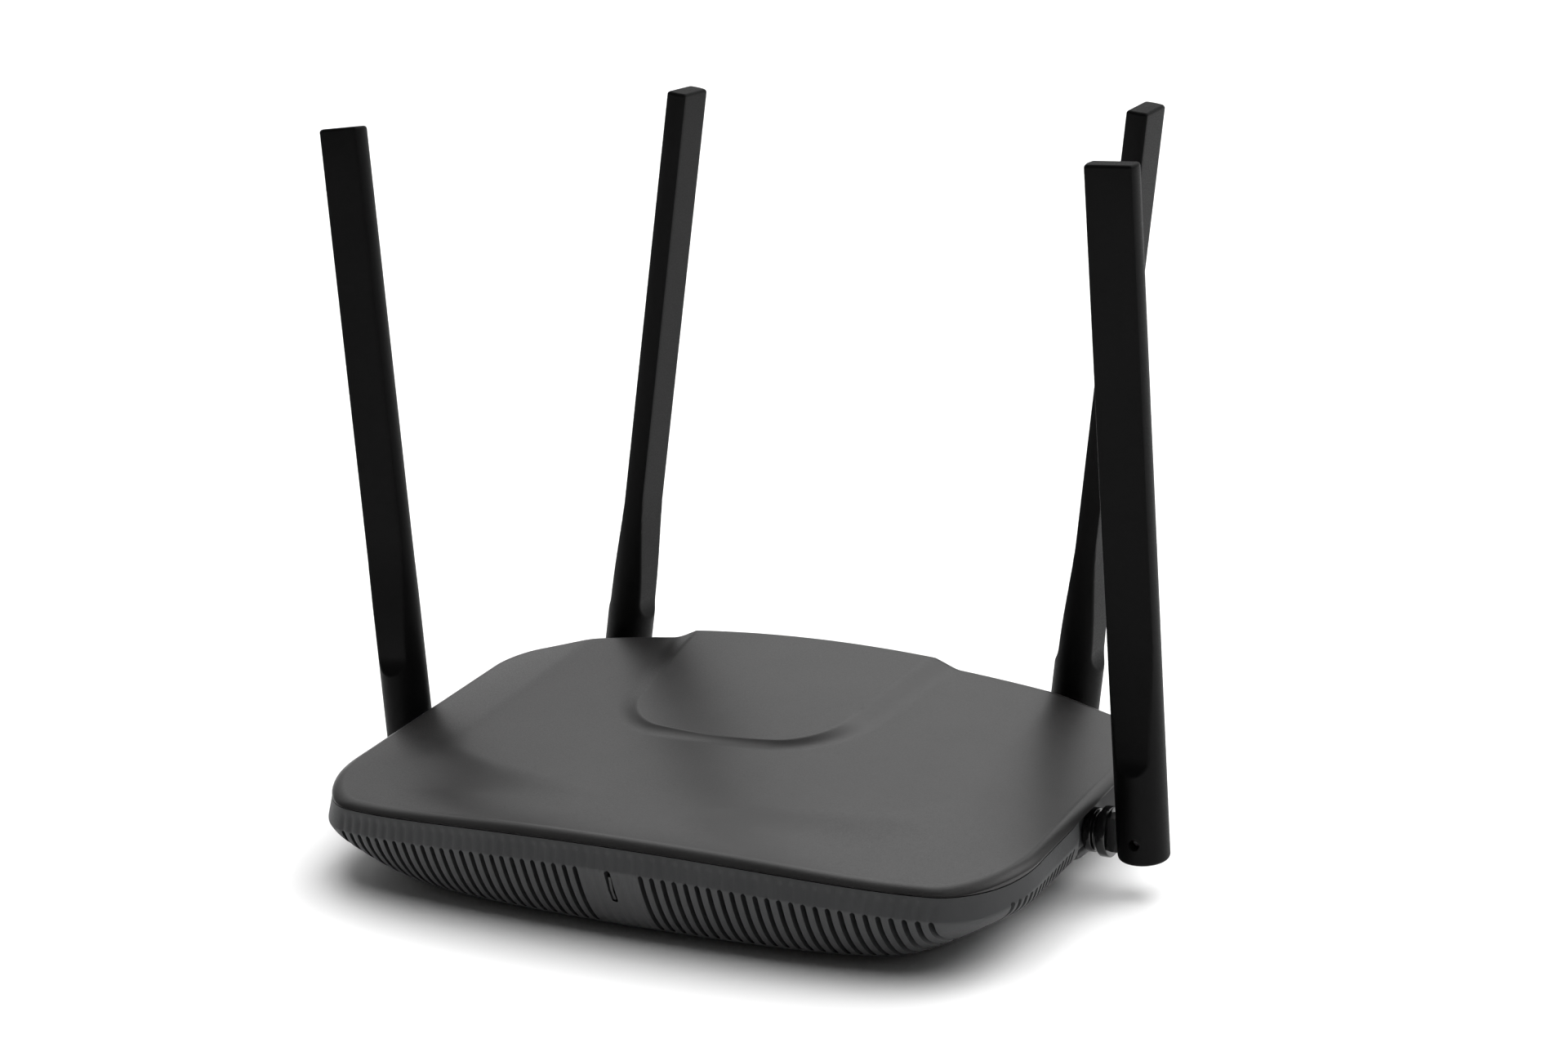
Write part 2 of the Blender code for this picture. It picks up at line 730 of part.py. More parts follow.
def build_knuckle(name, parent):
    """Turned rings and shaft with their axis along X, ending in a flat eye at the pin."""
    profile = [
        (0, -8.6), (7.1, -8.6), (7.1, -11.4), (5.0, -11.4), (5.0, -13.1), (6.2, -13.1),
        (6.2, -15.6), (3.6, -15.6), (3.6, -21.2), (2.9, -21.2), (2.9, -22.3), (3.6, -22.3),
        (3.6, -23.4), (1.2, -23.4), (1.2, -12.6), (0, -12.6),
    ]
    made = lathe(name, profile, (0, 0, 0), knuckle_black(), 14, parent, (0, math.pi / 2, 0))
    eye = [(-9.5 * MM, -EYE), (0, -EYE)]
    for i in range(1, 7):
        angle = -math.pi / 2 + math.pi * i / 7
        eye.append((EYE * math.cos(angle), EYE * math.sin(angle)))
    eye += [(0, EYE), (-9.5 * MM, EYE)]
    tongue = extruded(f"{name}_tongue", eye, TONGUE, None, "XZ")
    bore = rod_mesh(f"{name}_bore", PIN + GAP, 20 * MM, (0, 0, 0), "Y", 12)
    for piece in (tongue, add_object(f"{name}_bore", bore, None)):
        helper(piece)
        piece.parent = parent
    boolean(made, tongue, "UNION")
    boolean(made, bpy.data.objects[f"{name}_bore"], "DIFFERENCE")


def build_clip(name, parent):
    """A C-shaped snap ring in the knuckle shaft's groove, inside the case."""
    points = []
    opening = math.radians(35)
    for radius, way in ((5.4 * MM, 1), (3.2 * MM, -1)):
        for i in range(11):
            turn = opening + (2 * math.pi - 2 * opening) * i / 10
            if way < 0:
                turn = 2 * math.pi - turn
            points.append((radius * math.cos(turn), radius * math.sin(turn)))
    made = extruded(name, points, 0.6 * MM, steel(), "YZ")
    made.location = (-21.75 * MM, 0, 0)
    made.parent = parent


def build_antenna(name, point, heading, swivel, tilt):
    hinge = bpy.data.objects.new(f"{name}_hinge", None)
    hinge.location = point
    turned = Matrix.Rotation(math.radians(heading), 3, "Z")
    hinge.rotation_euler = (turned @ Matrix.Rotation(math.radians(swivel), 3, "X")).to_euler()
    pivot = bpy.data.objects.new(f"{name}_tilt", None)
    pivot.rotation_euler = Euler((0, math.radians(tilt), 0))
    pivot.parent = hinge
    for empty in (hinge, pivot):
        collection(PARTS).objects.link(empty)
    build_knuckle(f"{name}_knuckle", hinge)
    build_clip(f"{name}_hinge_clip", hinge)
    shell = build_antenna_shell(f"{name}_antenna_shell", antenna_black())
    smooth(shell)
    long_pin = 2 * BARREL - 6 * MM
    pin = rod(f"{name}_hinge_pin", PIN, long_pin, (0, 0, 0), "Y", steel(), 12)
    strip = (7 * MM, 0.8 * MM, 150 * MM)
    radiator = block(f"{name}_radiator", strip, (0, 0, 100 * MM), board_green())
    for piece in (shell, pin, radiator):
        piece.parent = pivot
    for cutter in bpy.data.collections[CUTTERS].objects:
        if cutter.name.startswith(f"{name}_antenna_shell"):
            cutter.parent = pivot


def build_cable(name, start, end):
    """A coaxial lead from a knuckle's shaft to the board, in one easy curve."""
    line = bpy.data.curves.new(name, "CURVE")
    line.dimensions = "3D"
    line.bevel_depth = 0.7 * MM
    line.bevel_resolution = 1
    line.use_fill_caps = True
    spline = line.splines.new("POLY")
    handles = (start, start.lerp(end, 0.45), end + Vector((0, 0, 9 * MM)), end)
    steps = 6
    spline.points.add(steps)
    for i in range(steps + 1):
        spline.points[i].co = (*bezier(handles, i / steps), 1)
    made = bpy.data.objects.new(name, line)
    collection(PARTS).objects.link(made)
    line.materials.append(antenna_black())
    return made


def build_cables():
    for name, place, _ in hinge_places(-24.4 * MM):
        side = math.copysign(1, place.x)
        rear = name.startswith("rear")
        end = Vector((side * (62 if rear else 64) * MM, (30 if rear else 4) * MM, BOARD_TOP + GAP))
        build_cable(f"{name}_antenna_cable", place, end)


# ---------------------------------------------------------------- electronics


def build_board():
    made = block(
        "main_board",
        BOARD,
        (0, BOARD_CENTRE_Y, BOARD_BOTTOM + BOARD[2] / 2),
        board_green(),
    )
    holes = []
    for x in (-50 * MM, 50 * MM):
        for y in (-18 * MM, 36 * MM):
            if y < 0:
                holes.append(rod_mesh("board_hole", 1.6 * MM, 8 * MM, (x, y, BOARD_TOP), "Z", 10))
    cut(made, "board_holes", holes)


def on_board(name, size, x, y, finish, bevel=0.0):
    centre = (x * MM, y * MM, BOARD_TOP + GAP + size[2] * MM / 2)
    return block(name, tuple(side * MM for side in size), centre, finish, bevel)


def build_components():
    on_board("rf_shield_front", (40, 24, 3), -26, -6, tinplate(), 0.4 * MM)
    on_board("rf_shield_side", (26, 30, 3), 46, 6, tinplate(), 0.4 * MM)
    on_board("processor", (14, 14, 1.4), 14, 2, chip_black())
    on_board("memory_chip", (12, 8, 1.2), 14, -15, chip_black())
    on_board("lan_transformer", (30, 9, 6), 16, 33, chip_black(), 0.5 * MM)
    on_board("wan_transformer", (13, 9, 6), -26, 33, chip_black(), 0.5 * MM)
    on_board("power_inductor", (8, 8, 4), -56, 24, chip_black(), 1 * MM)
    for i, x in enumerate((-50, -40.5), 1):
        height = 11 * MM
        centre = (x * MM, 38 * MM, BOARD_TOP + GAP + height / 2)
        rod(f"capacitor_{i}", 3.8 * MM, height, centre, "Z", aluminium(), 16)
    build_heatsink()
    build_board_screws()


def build_heatsink():
    """A finned block over the processor, drawn as a comb and pushed out."""
    fins = 6
    width = 20 * MM
    base = 1.5 * MM
    tall = 8 * MM
    pitch = width / (fins - 0.5)
    points = [(-width / 2, 0), (width / 2, 0)]
    for i in range(fins):
        right = width / 2 - i * pitch
        points += [(right, tall), (right - pitch / 2, tall)]
        if i < fins - 1:
            points += [(right - pitch / 2, base), (right - pitch, base)]
    made = extruded("heatsink", points, width, aluminium(), "XZ")
    made.location = (14 * MM, 2 * MM, BOARD_TOP + 1.4 * MM + 2 * GAP)


def build_board_screws():
    for i, x in enumerate((-50, 50), 1):
        profile = [(0, 1.9), (2.2, 1.9), (2.6, 1.2), (2.6, 0.3), (1.2, 0.3), (1.2, -1.2), (0, -1.2)]
        lathe(f"board_screw_{i}", profile, (x * MM, -18 * MM, BOARD_TOP), steel(), 12)


def port_cutters(x):
    """A socket's mouth, open to the rear, with the notch for the plug's latch."""
    width, depth, height = PORT
    y = JACK_FACE - depth / 2
    notch = (6 * MM, depth + 2 * MM, 2.2 * MM)
    mouth = (width, depth + 2 * MM, height)
    return [
        block_mesh("mouth", mouth, (x, y + 1 * MM, PORT_FLOOR + height / 2)),
        block_mesh("notch", notch, (x, y + 1 * MM, PORT_FLOOR - notch[2] / 2 + 0.5 * MM)),
    ]


def build_jack(name, x, ports, finish):
    width = ports * PORT_PITCH
    size = (width, JACK_DEPTH, JACK_HEIGHT)
    centre = (x, JACK_FACE - JACK_DEPTH / 2, JACK_BOTTOM + JACK_HEIGHT / 2)
    made = block(name, size, centre, finish)
    for k in range(ports):
        middle = x + (k - (ports - 1) / 2) * PORT_PITCH
        cut_each(made, f"{name}_port_{k}", port_cutters(middle))


def build_power_jack():
    size = (9 * MM, 14 * MM, 11 * MM)
    y = JACK_FACE - size[1] / 2
    z = JACK_BOTTOM + size[2] / 2
    made = block("power_jack", size, (POWER_JACK_X, y, z), jack_black())
    mouth = rod_mesh("mouth", 3.1 * MM, 20 * MM, (POWER_JACK_X, JACK_FACE, z), "Y", 16)
    cut(made, "power_jack_mouth", [mouth])
    pin = rod_mesh("pin", 1.0 * MM, 12 * MM, (POWER_JACK_X, JACK_FACE - 7 * MM, z), "Y", 10)
    join(made, "power_jack_pin", [pin])


def build_buttons():
    """Each button's cap slides in the rear wall, and its switch sits on the board."""
    block(
        "power_button",
        (6.2 * MM, 9 * MM, 6.2 * MM),
        (POWER_BUTTON_X, REAR - 2 * MM, BUTTON_Z),
        knuckle_black(),
        0.5 * MM,
    )
    on_board("power_switch", (8.4, 8, 10), POWER_BUTTON_X / MM, 50, jack_black())
    profile = [(0, 1.2), (2.1, 1.2), (2.5, 0.8), (2.5, -6.5), (0, -6.5)]
    upright = (-math.pi / 2, 0, 0)
    lathe("wps_button", profile, (WPS_X, REAR, BUTTON_Z), knuckle_black(), 16, None, upright)
    on_board("wps_switch", (6, 4, 9), WPS_X / MM, 53, jack_black())
    plunger = [(0, -2.6), (0.8, -2.6), (0.8, -6.5), (0, -6.5)]
    lathe("reset_plunger", plunger, (RESET_X, REAR, BUTTON_Z), jack_black(), 10, None, upright)
    on_board("reset_switch", (6, 4, 9), (RESET_X + 0.2 * MM) / MM, 53, jack_black())


def build_light():
    """An upright blade of clear plastic behind the front slit, lit by one diode."""
    front = FRONT / MM
    points = [
        (front + 0.4, 22.0), (front - 0.6, 20.5), (front + 0.1, 16.5), (front + 1.4, 13.2),
        (front + 8.0, 13.2), (-28.0, 11.2), (-16.0, 11.2), (-16.0, 16.0), (-24.0, 17.0),
        (front + 8.0, 22.0),
    ]
    extruded("light_pipe", [(y * MM, z * MM) for y, z in points], 0.8 * MM, clear(), "YZ")
    on_board("status_led", (1.6, 1.6, 1.4), 0, -18, clear())


def main():
    for old in list(bpy.data.objects):
        bpy.data.objects.remove(old, do_unlink=True)
    build_top_cover()
    build_bottom_case()
    build_feet_and_screws()
    for antenna in ANTENNAS:
        build_antenna(*antenna)
    build_cables()
    build_board()
    build_components()
    build_jack("lan_jack_block", LAN_X, 4, jack_black())
    build_jack("wan_jack", WAN_X, 1, jack_black())
    build_power_jack()
    build_buttons()
    build_light()


main()
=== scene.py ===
import json
import math

import bmesh
import bpy
from mathutils import Matrix, Vector


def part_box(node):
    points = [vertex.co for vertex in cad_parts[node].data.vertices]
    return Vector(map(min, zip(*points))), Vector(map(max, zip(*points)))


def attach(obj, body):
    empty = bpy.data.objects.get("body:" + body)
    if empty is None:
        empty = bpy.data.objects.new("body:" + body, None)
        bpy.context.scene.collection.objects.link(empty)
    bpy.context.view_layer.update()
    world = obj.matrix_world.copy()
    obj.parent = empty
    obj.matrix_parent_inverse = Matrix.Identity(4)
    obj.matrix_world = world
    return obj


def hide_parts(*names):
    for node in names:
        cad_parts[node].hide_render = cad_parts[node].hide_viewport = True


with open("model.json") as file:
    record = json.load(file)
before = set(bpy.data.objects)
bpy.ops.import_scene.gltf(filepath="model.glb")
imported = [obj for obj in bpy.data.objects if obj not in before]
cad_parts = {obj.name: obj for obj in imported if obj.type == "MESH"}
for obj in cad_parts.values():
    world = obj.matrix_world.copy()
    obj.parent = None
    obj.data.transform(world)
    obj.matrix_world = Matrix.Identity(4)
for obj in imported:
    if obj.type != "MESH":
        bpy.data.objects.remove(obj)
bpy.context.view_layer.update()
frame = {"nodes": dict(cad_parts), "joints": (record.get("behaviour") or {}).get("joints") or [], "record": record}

MM = 0.001

# The body's size comes from the imported cover.
COVER_LOW, COVER_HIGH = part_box("top_cover")
HALF_WIDTH = COVER_HIGH.x
FRONT = COVER_LOW.y
REAR = COVER_HIGH.y
FRONT_CORNER_X = 92 * MM
FRONT_CORNER_Y = -24 * MM
REAR_CORNER = 10 * MM
PARTING_HEIGHT = 28.9 * MM
SEAM = 0.14 * MM
WALL = 2 * MM
SHOULDER_INSET = 3.3 * MM
SHOULDER_DROP = 2.2 * MM
SHOULDER_POWER = 1.35
TONGUE_EDGE = 0.8 * MM
BELLY_DROP = 6.2 * MM
FRONT_LEAN = -1.8 * MM
SIDE_LEAN = -1.0 * MM

# Ventilation slots and the shallow flutes that run through them.
SLOT_PITCH = 3.42 * MM
SLOT_WIDTH = 1.5 * MM
SLOT_BOTTOM = 2.8 * MM
FRONT_SLOTS = 25
FIRST_SLOT = 3
FLUTE_DEPTH = 0.3 * MM
FLUTE_HALF = 1.25 * MM
SIDE_PITCH = 2.5 * MM
SIDE_SLOT_WIDTH = 1.4 * MM
SIDE_SLOTS = 15
SIDE_SLOT_START = -38.5 * MM
SIDE_SLOT_BOTTOM = 5.4 * MM
SIDE_SLOT_HEADROOM = 5.5 * MM
LED_SLIT_MIDDLE = 17.5 * MM
LED_SLIT = (2.0 * MM, 10.4 * MM)
WALL_TURN = 14.4 * MM

# Antennas: lengths from the hinge pin.
ANTENNAS = ("right", "left", "rear_left", "rear_right")
BARREL = 7.25 * MM
ANTENNA_LENGTH = 186.7 * MM
ANTENNA_FOOT = 6.3 * MM
BLADE_HALF = 3.13 * MM
BLADE_EDGE = 0.35 * MM
ANTENNA_SIDES = 144
SCOOP = 20 * MM
SCOOP_RUNOUT = 6 * MM
BLADE_START = 64 * MM
FOOT_ROUND = 3.5 * MM
FOOT_EDGE = 1.2 * MM
TIP_EDGE = 1.0 * MM
KNUCKLE_REACH = 15.6 * MM
TONGUE = 4.8 * MM
EYE = 5 * MM
PIN = 1.3 * MM
PIN_HOLE = PIN + 0.3 * MM
HINGE_HOLE = 3.9 * MM
CLIP_ROOM = 5.8 * MM
BOSS = 7.2 * MM
DISH = 8.5 * MM
SEAT = -KNUCKLE_REACH - 0.3 * MM

# Rear panel, with the corner radius of each opening in it, and the wells in the floor.
REAR_GAP = 0.3 * MM
REAR_OPENINGS = (
    ("lan_jack_block", 0.6 * MM),
    ("wan_jack", 0.6 * MM),
    ("power_jack", 0.8 * MM),
    ("power_button", 1.2 * MM),
    ("wps_button", 2.7 * MM),
)
RESET_HOLE = 1.1 * MM
SCREW_WELL = 3.7 * MM
FOOT_WELL = 5.8 * MM
JACK_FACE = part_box("lan_jack_block")[1].y
PORT_PITCH = 15.4 * MM
PORT = (11.8 * MM, 12 * MM, 8.6 * MM)

# Camera and light.
CAMERA_PLACE = (0.43284, -0.73599, 0.36526)
CAMERA_TURN = (28.891, -17.213, -3.879)
CAMERA_LENS = 73.86
SENSOR_WIDTH = 36
FLOOR_SIZE = 40
WALL_RADIUS = 12
# The sky's brightness at the sine of its elevation, the way it is brightest, and how its
# brightness grows with the cosine of the angle to that way.
BACKDROP = ((0, 0.15), (0.35, 0.2), (0.6, 0.55), (0.8, 1.0), (0.9, 0.5), (0.97, 0.03), (1, 0.01))
BACKDROP_WAY = (0.15, 0.99, 0.0)
BACKDROP_STRENGTH = 3.0
BACKDROP_SPREAD = {"From Min": 0.12, "From Max": 0.5, "To Min": 0.06, "To Max": 1.0}
# The overhead light: elevation, azimuth, strength and the angle it covers.
OVERHEAD = (72, 20, 3.5, 70)


# ---------------------------------------------------------------- shape of the body


def smoothstep(low, high, value):
    t = min(max((value - low) / (high - low), 0.0), 1.0)
    return t * t * (3 - 2 * t)


def soft_min(a, b, softness):
    h = max(softness - abs(a - b), 0.0) / softness
    return min(a, b) - h * h * softness / 4


def soft_max(a, b, softness):
    return -soft_min(-a, -b, softness)


def bezier(points, t):
    a, b, c, d = points
    s = 1 - t
    return a * s**3 + b * 3 * s * s * t + c * 3 * s * t * t + d * t**3


def front_line(x):
    """The front edge of the parting line in plan, bowed forwards in the middle."""
    t = x / HALF_WIDTH
    return FRONT + (6.4 * t**2 + 9.6 * t**6) * MM


def front_arch(x):
    """How far the front edge drops below its middle."""
    t = min(abs(x) / HALF_WIDTH, 1.0)
    return (-7.0 * t**2 + 1.5 * t**4) * MM


def side_height(y):
    """Height of the top surface's edge along the sides."""
    return 28.3 * MM + 0.03 * y


def spread(start, end, steps):
    """Evenly spaced values from start up to, but not including, end."""
    return [start + (end - start) * i / steps for i in range(steps)]


def outline(front, corner, side, rear_corner, rear):
    """The parting line in plan, anticlockwise from the front middle, with that many
    points along each stretch of its right half."""
    points = [Vector((x, front_line(x))) for x in spread(0, FRONT_CORNER_X, front)]
    start = Vector((FRONT_CORNER_X, front_line(FRONT_CORNER_X)))
    end = Vector((HALF_WIDTH, FRONT_CORNER_Y))
    along = Vector((1, 0.31)).normalized() * 10 * MM
    handles = (start, start + along, end - Vector((0, 12 * MM)), end)
    points += [bezier(handles, i / corner) for i in range(corner)]
    points += [Vector((HALF_WIDTH, y)) for y in spread(FRONT_CORNER_Y, REAR - REAR_CORNER, side)]
    centre = Vector((HALF_WIDTH - REAR_CORNER, REAR - REAR_CORNER))
    for angle in spread(0, math.pi / 2, rear_corner):
        points.append(centre + Vector((math.cos(angle), math.sin(angle))) * REAR_CORNER)
    points += [Vector((x, REAR)) for x in spread(HALF_WIDTH - REAR_CORNER, 0, rear)]
    points.append(Vector((0, REAR)))
    return points + [Vector((-p.x, p.y)) for p in reversed(points[1:-1])]


def inset(point, side, front, rear):
    """Moves a point of the outline inwards, by the side, front and rear amounts."""
    from_rear = (REAR - point.y) / (REAR - FRONT)
    across = point.x * (1 - side / HALF_WIDTH)
    return Vector((across, point.y + front * from_rear - rear * (1 - from_rear)))


def parting_height(x, y):
    front = PARTING_HEIGHT + front_arch(x)
    side = side_height(y) - SHOULDER_DROP - 0.3 * MM
    height = front + (side - front) * smoothstep(-46 * MM, -20 * MM, y)
    at_rear = smoothstep(50 * MM, 61 * MM, y) * smoothstep(104 * MM, 90 * MM, abs(x))
    return height + (31 * MM - height) * at_rear


def main_sheet(x, y):
    """The crowned sheet between the two outer folds."""
    behind = max(y - front_line(x) - SHOULDER_INSET, 0.0)
    rise = 0.075 * behind + 2.6 * MM * (1 - math.exp(-behind / (14 * MM)))
    back = ((y + 60 * MM) / (120 * MM)) ** 2
    cross = (1.87 - 4.28 * (x / (100 * MM)) ** 2) * MM
    return PARTING_HEIGHT + SHOULDER_DROP + front_arch(x) + rise + back * cross


def outer_sheet(x, y):
    """The sheets outside the folds, falling to the side edges."""
    across = 106.7 * MM - abs(x)
    ahead = max(-6 * MM - y, 0.0) / MM
    slope = soft_max(0.197 + 0.00121 * (y / MM + 6) - 0.9e-4 * ahead**2, 0.07, 0.06)
    return side_height(y) + slope * across + 0.3 * across**2


def tongue_distance(x, y):
    """Distance outside the raised tongue's rounded outline, negative inside."""
    corner = 13 * MM
    half = 34 * MM + 0.131 * (y - 18.4 * MM)
    front = -1.8 * MM + 4.5 * x * x
    a = abs(x) - half + corner
    b = front - y + corner
    return math.hypot(max(a, 0.0), max(b, 0.0)) + min(max(a, b), 0.0) - corner


def top_height(x, y):
    """The cover's outer surface."""
    softness = (0.5 + 2.5 * smoothstep(-20 * MM, -50 * MM, y)) * MM
    base = soft_min(main_sheet(x, y), outer_sheet(x, y), softness)
    along = (y + 1.5 * MM) / (60 * MM)
    crown = 1.6 * MM * along * (1 - (x / (39 * MM)) ** 2)
    raised = 39.2 * MM + 5.9 * MM * along + crown
    raised -= 0.36 * max(tongue_distance(x, y), 0.0)
    return soft_max(base, raised, TONGUE_EDGE)


def hinge_seat(point, hinges):
    """Shapes the case wall round each hinge: a shallow dish that its knuckle turns in,
    and under that a flare that runs from the wall out to the hinge's boss."""
    for hinge, outward in hinges:
        offset = point - hinge
        along = offset.dot(outward)
        across = offset - outward * along
        if along < -40 * MM or across.length > 40 * MM:
            continue
        sideways = math.hypot(across.x, across.y)
        beyond = max(math.hypot(0.55 * sideways, across.z) - BOSS, 0.0)
        flare = SEAT - 3 * beyond - 30 * MM * smoothstep(-5 * MM, -1 * MM, across.z)
        along_now = soft_max(along, flare, 3 * MM)
        across.z = min(across.z, 4.3 * MM)
        dish = SEAT + 0.5 * max(across.length - DISH, 0.0)
        point = point + outward * (soft_min(along_now, dish, 2.5 * MM) - along)
    return point


def flute(x):
    """How far a point sinks into the nearest of the front's upright flutes."""
    column = round(x / SLOT_PITCH)
    if abs(column) >= FIRST_SLOT + FRONT_SLOTS:
        return 0.0
    away = abs(x - column * SLOT_PITCH) / FLUTE_HALF
    return FLUTE_DEPTH * (1 - smoothstep(0.15, 1.0, away))


def side_inset(belly, height):
    """How far in the side wall stands: steep under the belly, then a flatter slope."""
    below = belly - height
    steep = SIDE_LEAN + 0.3 * below + 10.7 * below**2
    slope = 1.8 * MM + 1.54 * (WALL_TURN - height)
    return soft_max(steep, slope, 2.5 * MM)


def hull_point(plan, t, hinges):
    """A point of the case's outer surface. t runs from -1 at the parting line through
    0 at the belly, its widest line, to 1 at the flat underside."""
    top = parting_height(plan.x, plan.y) - SEAM / 2
    sideways = smoothstep(-50 * MM, -25 * MM, plan.y)
    backwards = smoothstep(58 * MM, 63 * MM, plan.y)
    belly = top - BELLY_DROP + 2.0 * MM * sideways
    if t <= 0:
        side = SIDE_LEAN * (t + 1)
        front = FRONT_LEAN * (t + 1)
        rear = 0.0
        height = top + (belly - top) * (t + 1)
    else:
        front = bezier((FRONT_LEAN, 0.4 * MM, 5.2 * MM, 15.7 * MM), t)
        rear = bezier((0.0, 0.0, 0.0, 2 * MM), t)
        height = belly * bezier((1.0, 0.6 - 0.1 * backwards, 0.0, 0.0), t)
        side = side_inset(belly, height)
    if plan.y < FRONT_CORNER_Y:
        fade = smoothstep(-0.93, -0.6, t) * smoothstep(0.85, 0.6, t)
        front += flute(plan.x * (1 - side / HALF_WIDTH)) * fade
    flat = inset(plan, side, front, rear)
    return hinge_seat(Vector((*flat, height)), hinges)


# ---------------------------------------------------------------- mesh tools


def new_object(name, mesh):
    made = bpy.data.objects.new(name, mesh)
    bpy.context.scene.collection.objects.link(made)
    return made


def mesh_from(name, shape):
    mesh = bpy.data.meshes.new(name)
    shape.normal_update()
    shape.to_mesh(mesh)
    shape.free()
    return mesh


def shade(made, degrees=40):
    made.data.shade_smooth()
    made.data.set_sharp_from_angle(angle=math.radians(degrees))
    return made


def loft(name, rings, close=True):
    """A skin over rings of equally many points, each ring anticlockwise round the loft."""
    shape = bmesh.new()
    rows = [[shape.verts.new(p) for p in ring] for ring in rings]
    for low, high in zip(rows, rows[1:]):
        count = len(low)
        for i in range(count):
            j = (i + 1) % count
            shape.faces.new((low[i], low[j], high[j], high[i]))
    if close:
        shape.faces.new(list(reversed(rows[0])))
        shape.faces.new(rows[-1])
    return new_object(name, mesh_from(name, shape))


def rounded(profile, radius, steps=3):
    """Rounds the inner corners of a profile of (radius, height) points."""
    made = [Vector(profile[0])]
    for before, corner, after in zip(profile, profile[1:], profile[2:]):
        before, corner, after = Vector(before), Vector(corner), Vector(after)
        back, on = before - corner, after - corner
        cut = min(radius, back.length * 0.45, on.length * 0.45)
        start = corner + back.normalized() * cut
        end = corner + on.normalized() * cut
        for i in range(steps + 1):
            t = i / steps
            made.append(start * (1 - t) ** 2 + corner * 2 * t * (1 - t) + end * t * t)
    made.append(Vector(profile[-1]))
    return made


def turned(name, profile, steps=48, edge=0.25):
    """A turned piece about +Z: a profile in millimetres as (radius, height) from its top
    middle to its bottom middle, with rounded edges."""
    line = rounded(profile, edge)
    shape = bmesh.new()
    rings = []
    for radius, height in line[1:-1]:
        ring = []
        for i in range(steps):
            angle = 2 * math.pi * i / steps
            place = (radius * math.cos(angle), radius * math.sin(angle), height)
            ring.append(shape.verts.new(Vector(place) * MM))
        rings.append(ring)
    for high, low in zip(rings, rings[1:]):
        for i in range(steps):
            j = (i + 1) % steps
            shape.faces.new((low[i], low[j], high[j], high[i]))
    shape.faces.new(rings[0])
    shape.faces.new(list(reversed(rings[-1])))
    return shade(new_object(name, mesh_from(name, shape)))


def box_mesh(size, centre, edge=0.0):
    shape = bmesh.new()
    bmesh.ops.create_cube(shape, size=1.0)
    bmesh.ops.scale(shape, vec=size, verts=shape.verts)
    bmesh.ops.translate(shape, vec=centre, verts=shape.verts)
    if edge:
        bmesh.ops.bevel(
            shape,
            geom=shape.edges[:] + shape.verts[:],
            offset=edge,
            segments=3,
            profile=0.5,
            affect="EDGES",
        )
    return mesh_from("box", shape)


TURN = {
    "X": Matrix.Rotation(math.pi / 2, 3, "Y"),
    "Y": Matrix.Rotation(-math.pi / 2, 3, "X"),
    "Z": Matrix.Identity(3),
}


def rod_mesh(radius, length, centre, axis, sides=40):
    """A cylinder along an axis."""
    shape = bmesh.new()
    bmesh.ops.create_cone(
        shape,
        cap_ends=True,
        segments=sides,
        radius1=radius,
        radius2=radius,
        depth=length,
    )
    bmesh.ops.rotate(shape, matrix=TURN[axis], verts=shape.verts)
    bmesh.ops.translate(shape, vec=centre, verts=shape.verts)
    return mesh_from("rod", shape)


def prism_mesh(points, axis, low, high):
    """A flat outline pushed along an axis. Its points are (x, z) for the axis Y and
    (y, z) for the axis X."""
    shape = bmesh.new()
    rows = []
    for level in (low, high):
        row = []
        for a, b in points:
            place = (a, level, b) if axis == "Y" else (level, a, b)
            row.append(shape.verts.new(place))
        rows.append(row)
    count = len(points)
    for i in range(count):
        j = (i + 1) % count
        shape.faces.new((rows[0][i], rows[0][j], rows[1][j], rows[1][i]))
    shape.faces.new(list(reversed(rows[0])))
    shape.faces.new(rows[1])
    bmesh.ops.recalc_face_normals(shape, faces=shape.faces)
    return mesh_from("prism", shape)


def rounded_rectangle(centre, size, radius, steps=5):
    """The outline of a rectangle with rounded corners, as 2D points."""
    points = []
    for k, (sx, sy) in enumerate(((1, 1), (-1, 1), (-1, -1), (1, -1))):
        middle = Vector((sx * (size[0] / 2 - radius), sy * (size[1] / 2 - radius)))
        for i in range(steps + 1):
            angle = math.pi / 2 * (k + i / steps)
            corner = Vector((math.cos(angle), math.sin(angle))) * radius
            points.append(Vector(centre) + middle + corner)
    return points


def merged(name, meshes):
    shape = bmesh.new()
    for mesh in meshes:
        shape.from_mesh(mesh)
        bpy.data.meshes.remove(mesh)
    return new_object(name, mesh_from(name, shape))


def combine(made, operation, meshes):
    """Cuts, or joins on, bodies that don't touch each other, and keeps the result."""
    other = merged("tool", meshes)
    step = made.modifiers.new("step", "BOOLEAN")
    step.operation = operation
    step.object = other
    step.solver = "MANIFOLD"
    bake(made)
    bpy.data.objects.remove(other, do_unlink=True)


def bake(made):
    """Turns an object's modifiers into its mesh."""
    graph = bpy.context.evaluated_depsgraph_get()
    graph.update()
    mesh = bpy.data.meshes.new_from_object(made.evaluated_get(graph))
    made.modifiers.clear()
    made.data = mesh


def piece(made, body, slot, nodes=(), material=None):
    """Gives a finished piece its material, that of its slot unless one is given, and its body, and hides the nodes
    it replaces.
    """
    made.data.materials.clear()
    made.data.materials.append(material or MATERIALS[slot])
    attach(made, body)
    if nodes:
        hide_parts(*nodes)
    return made


# ---------------------------------------------------------------- materials


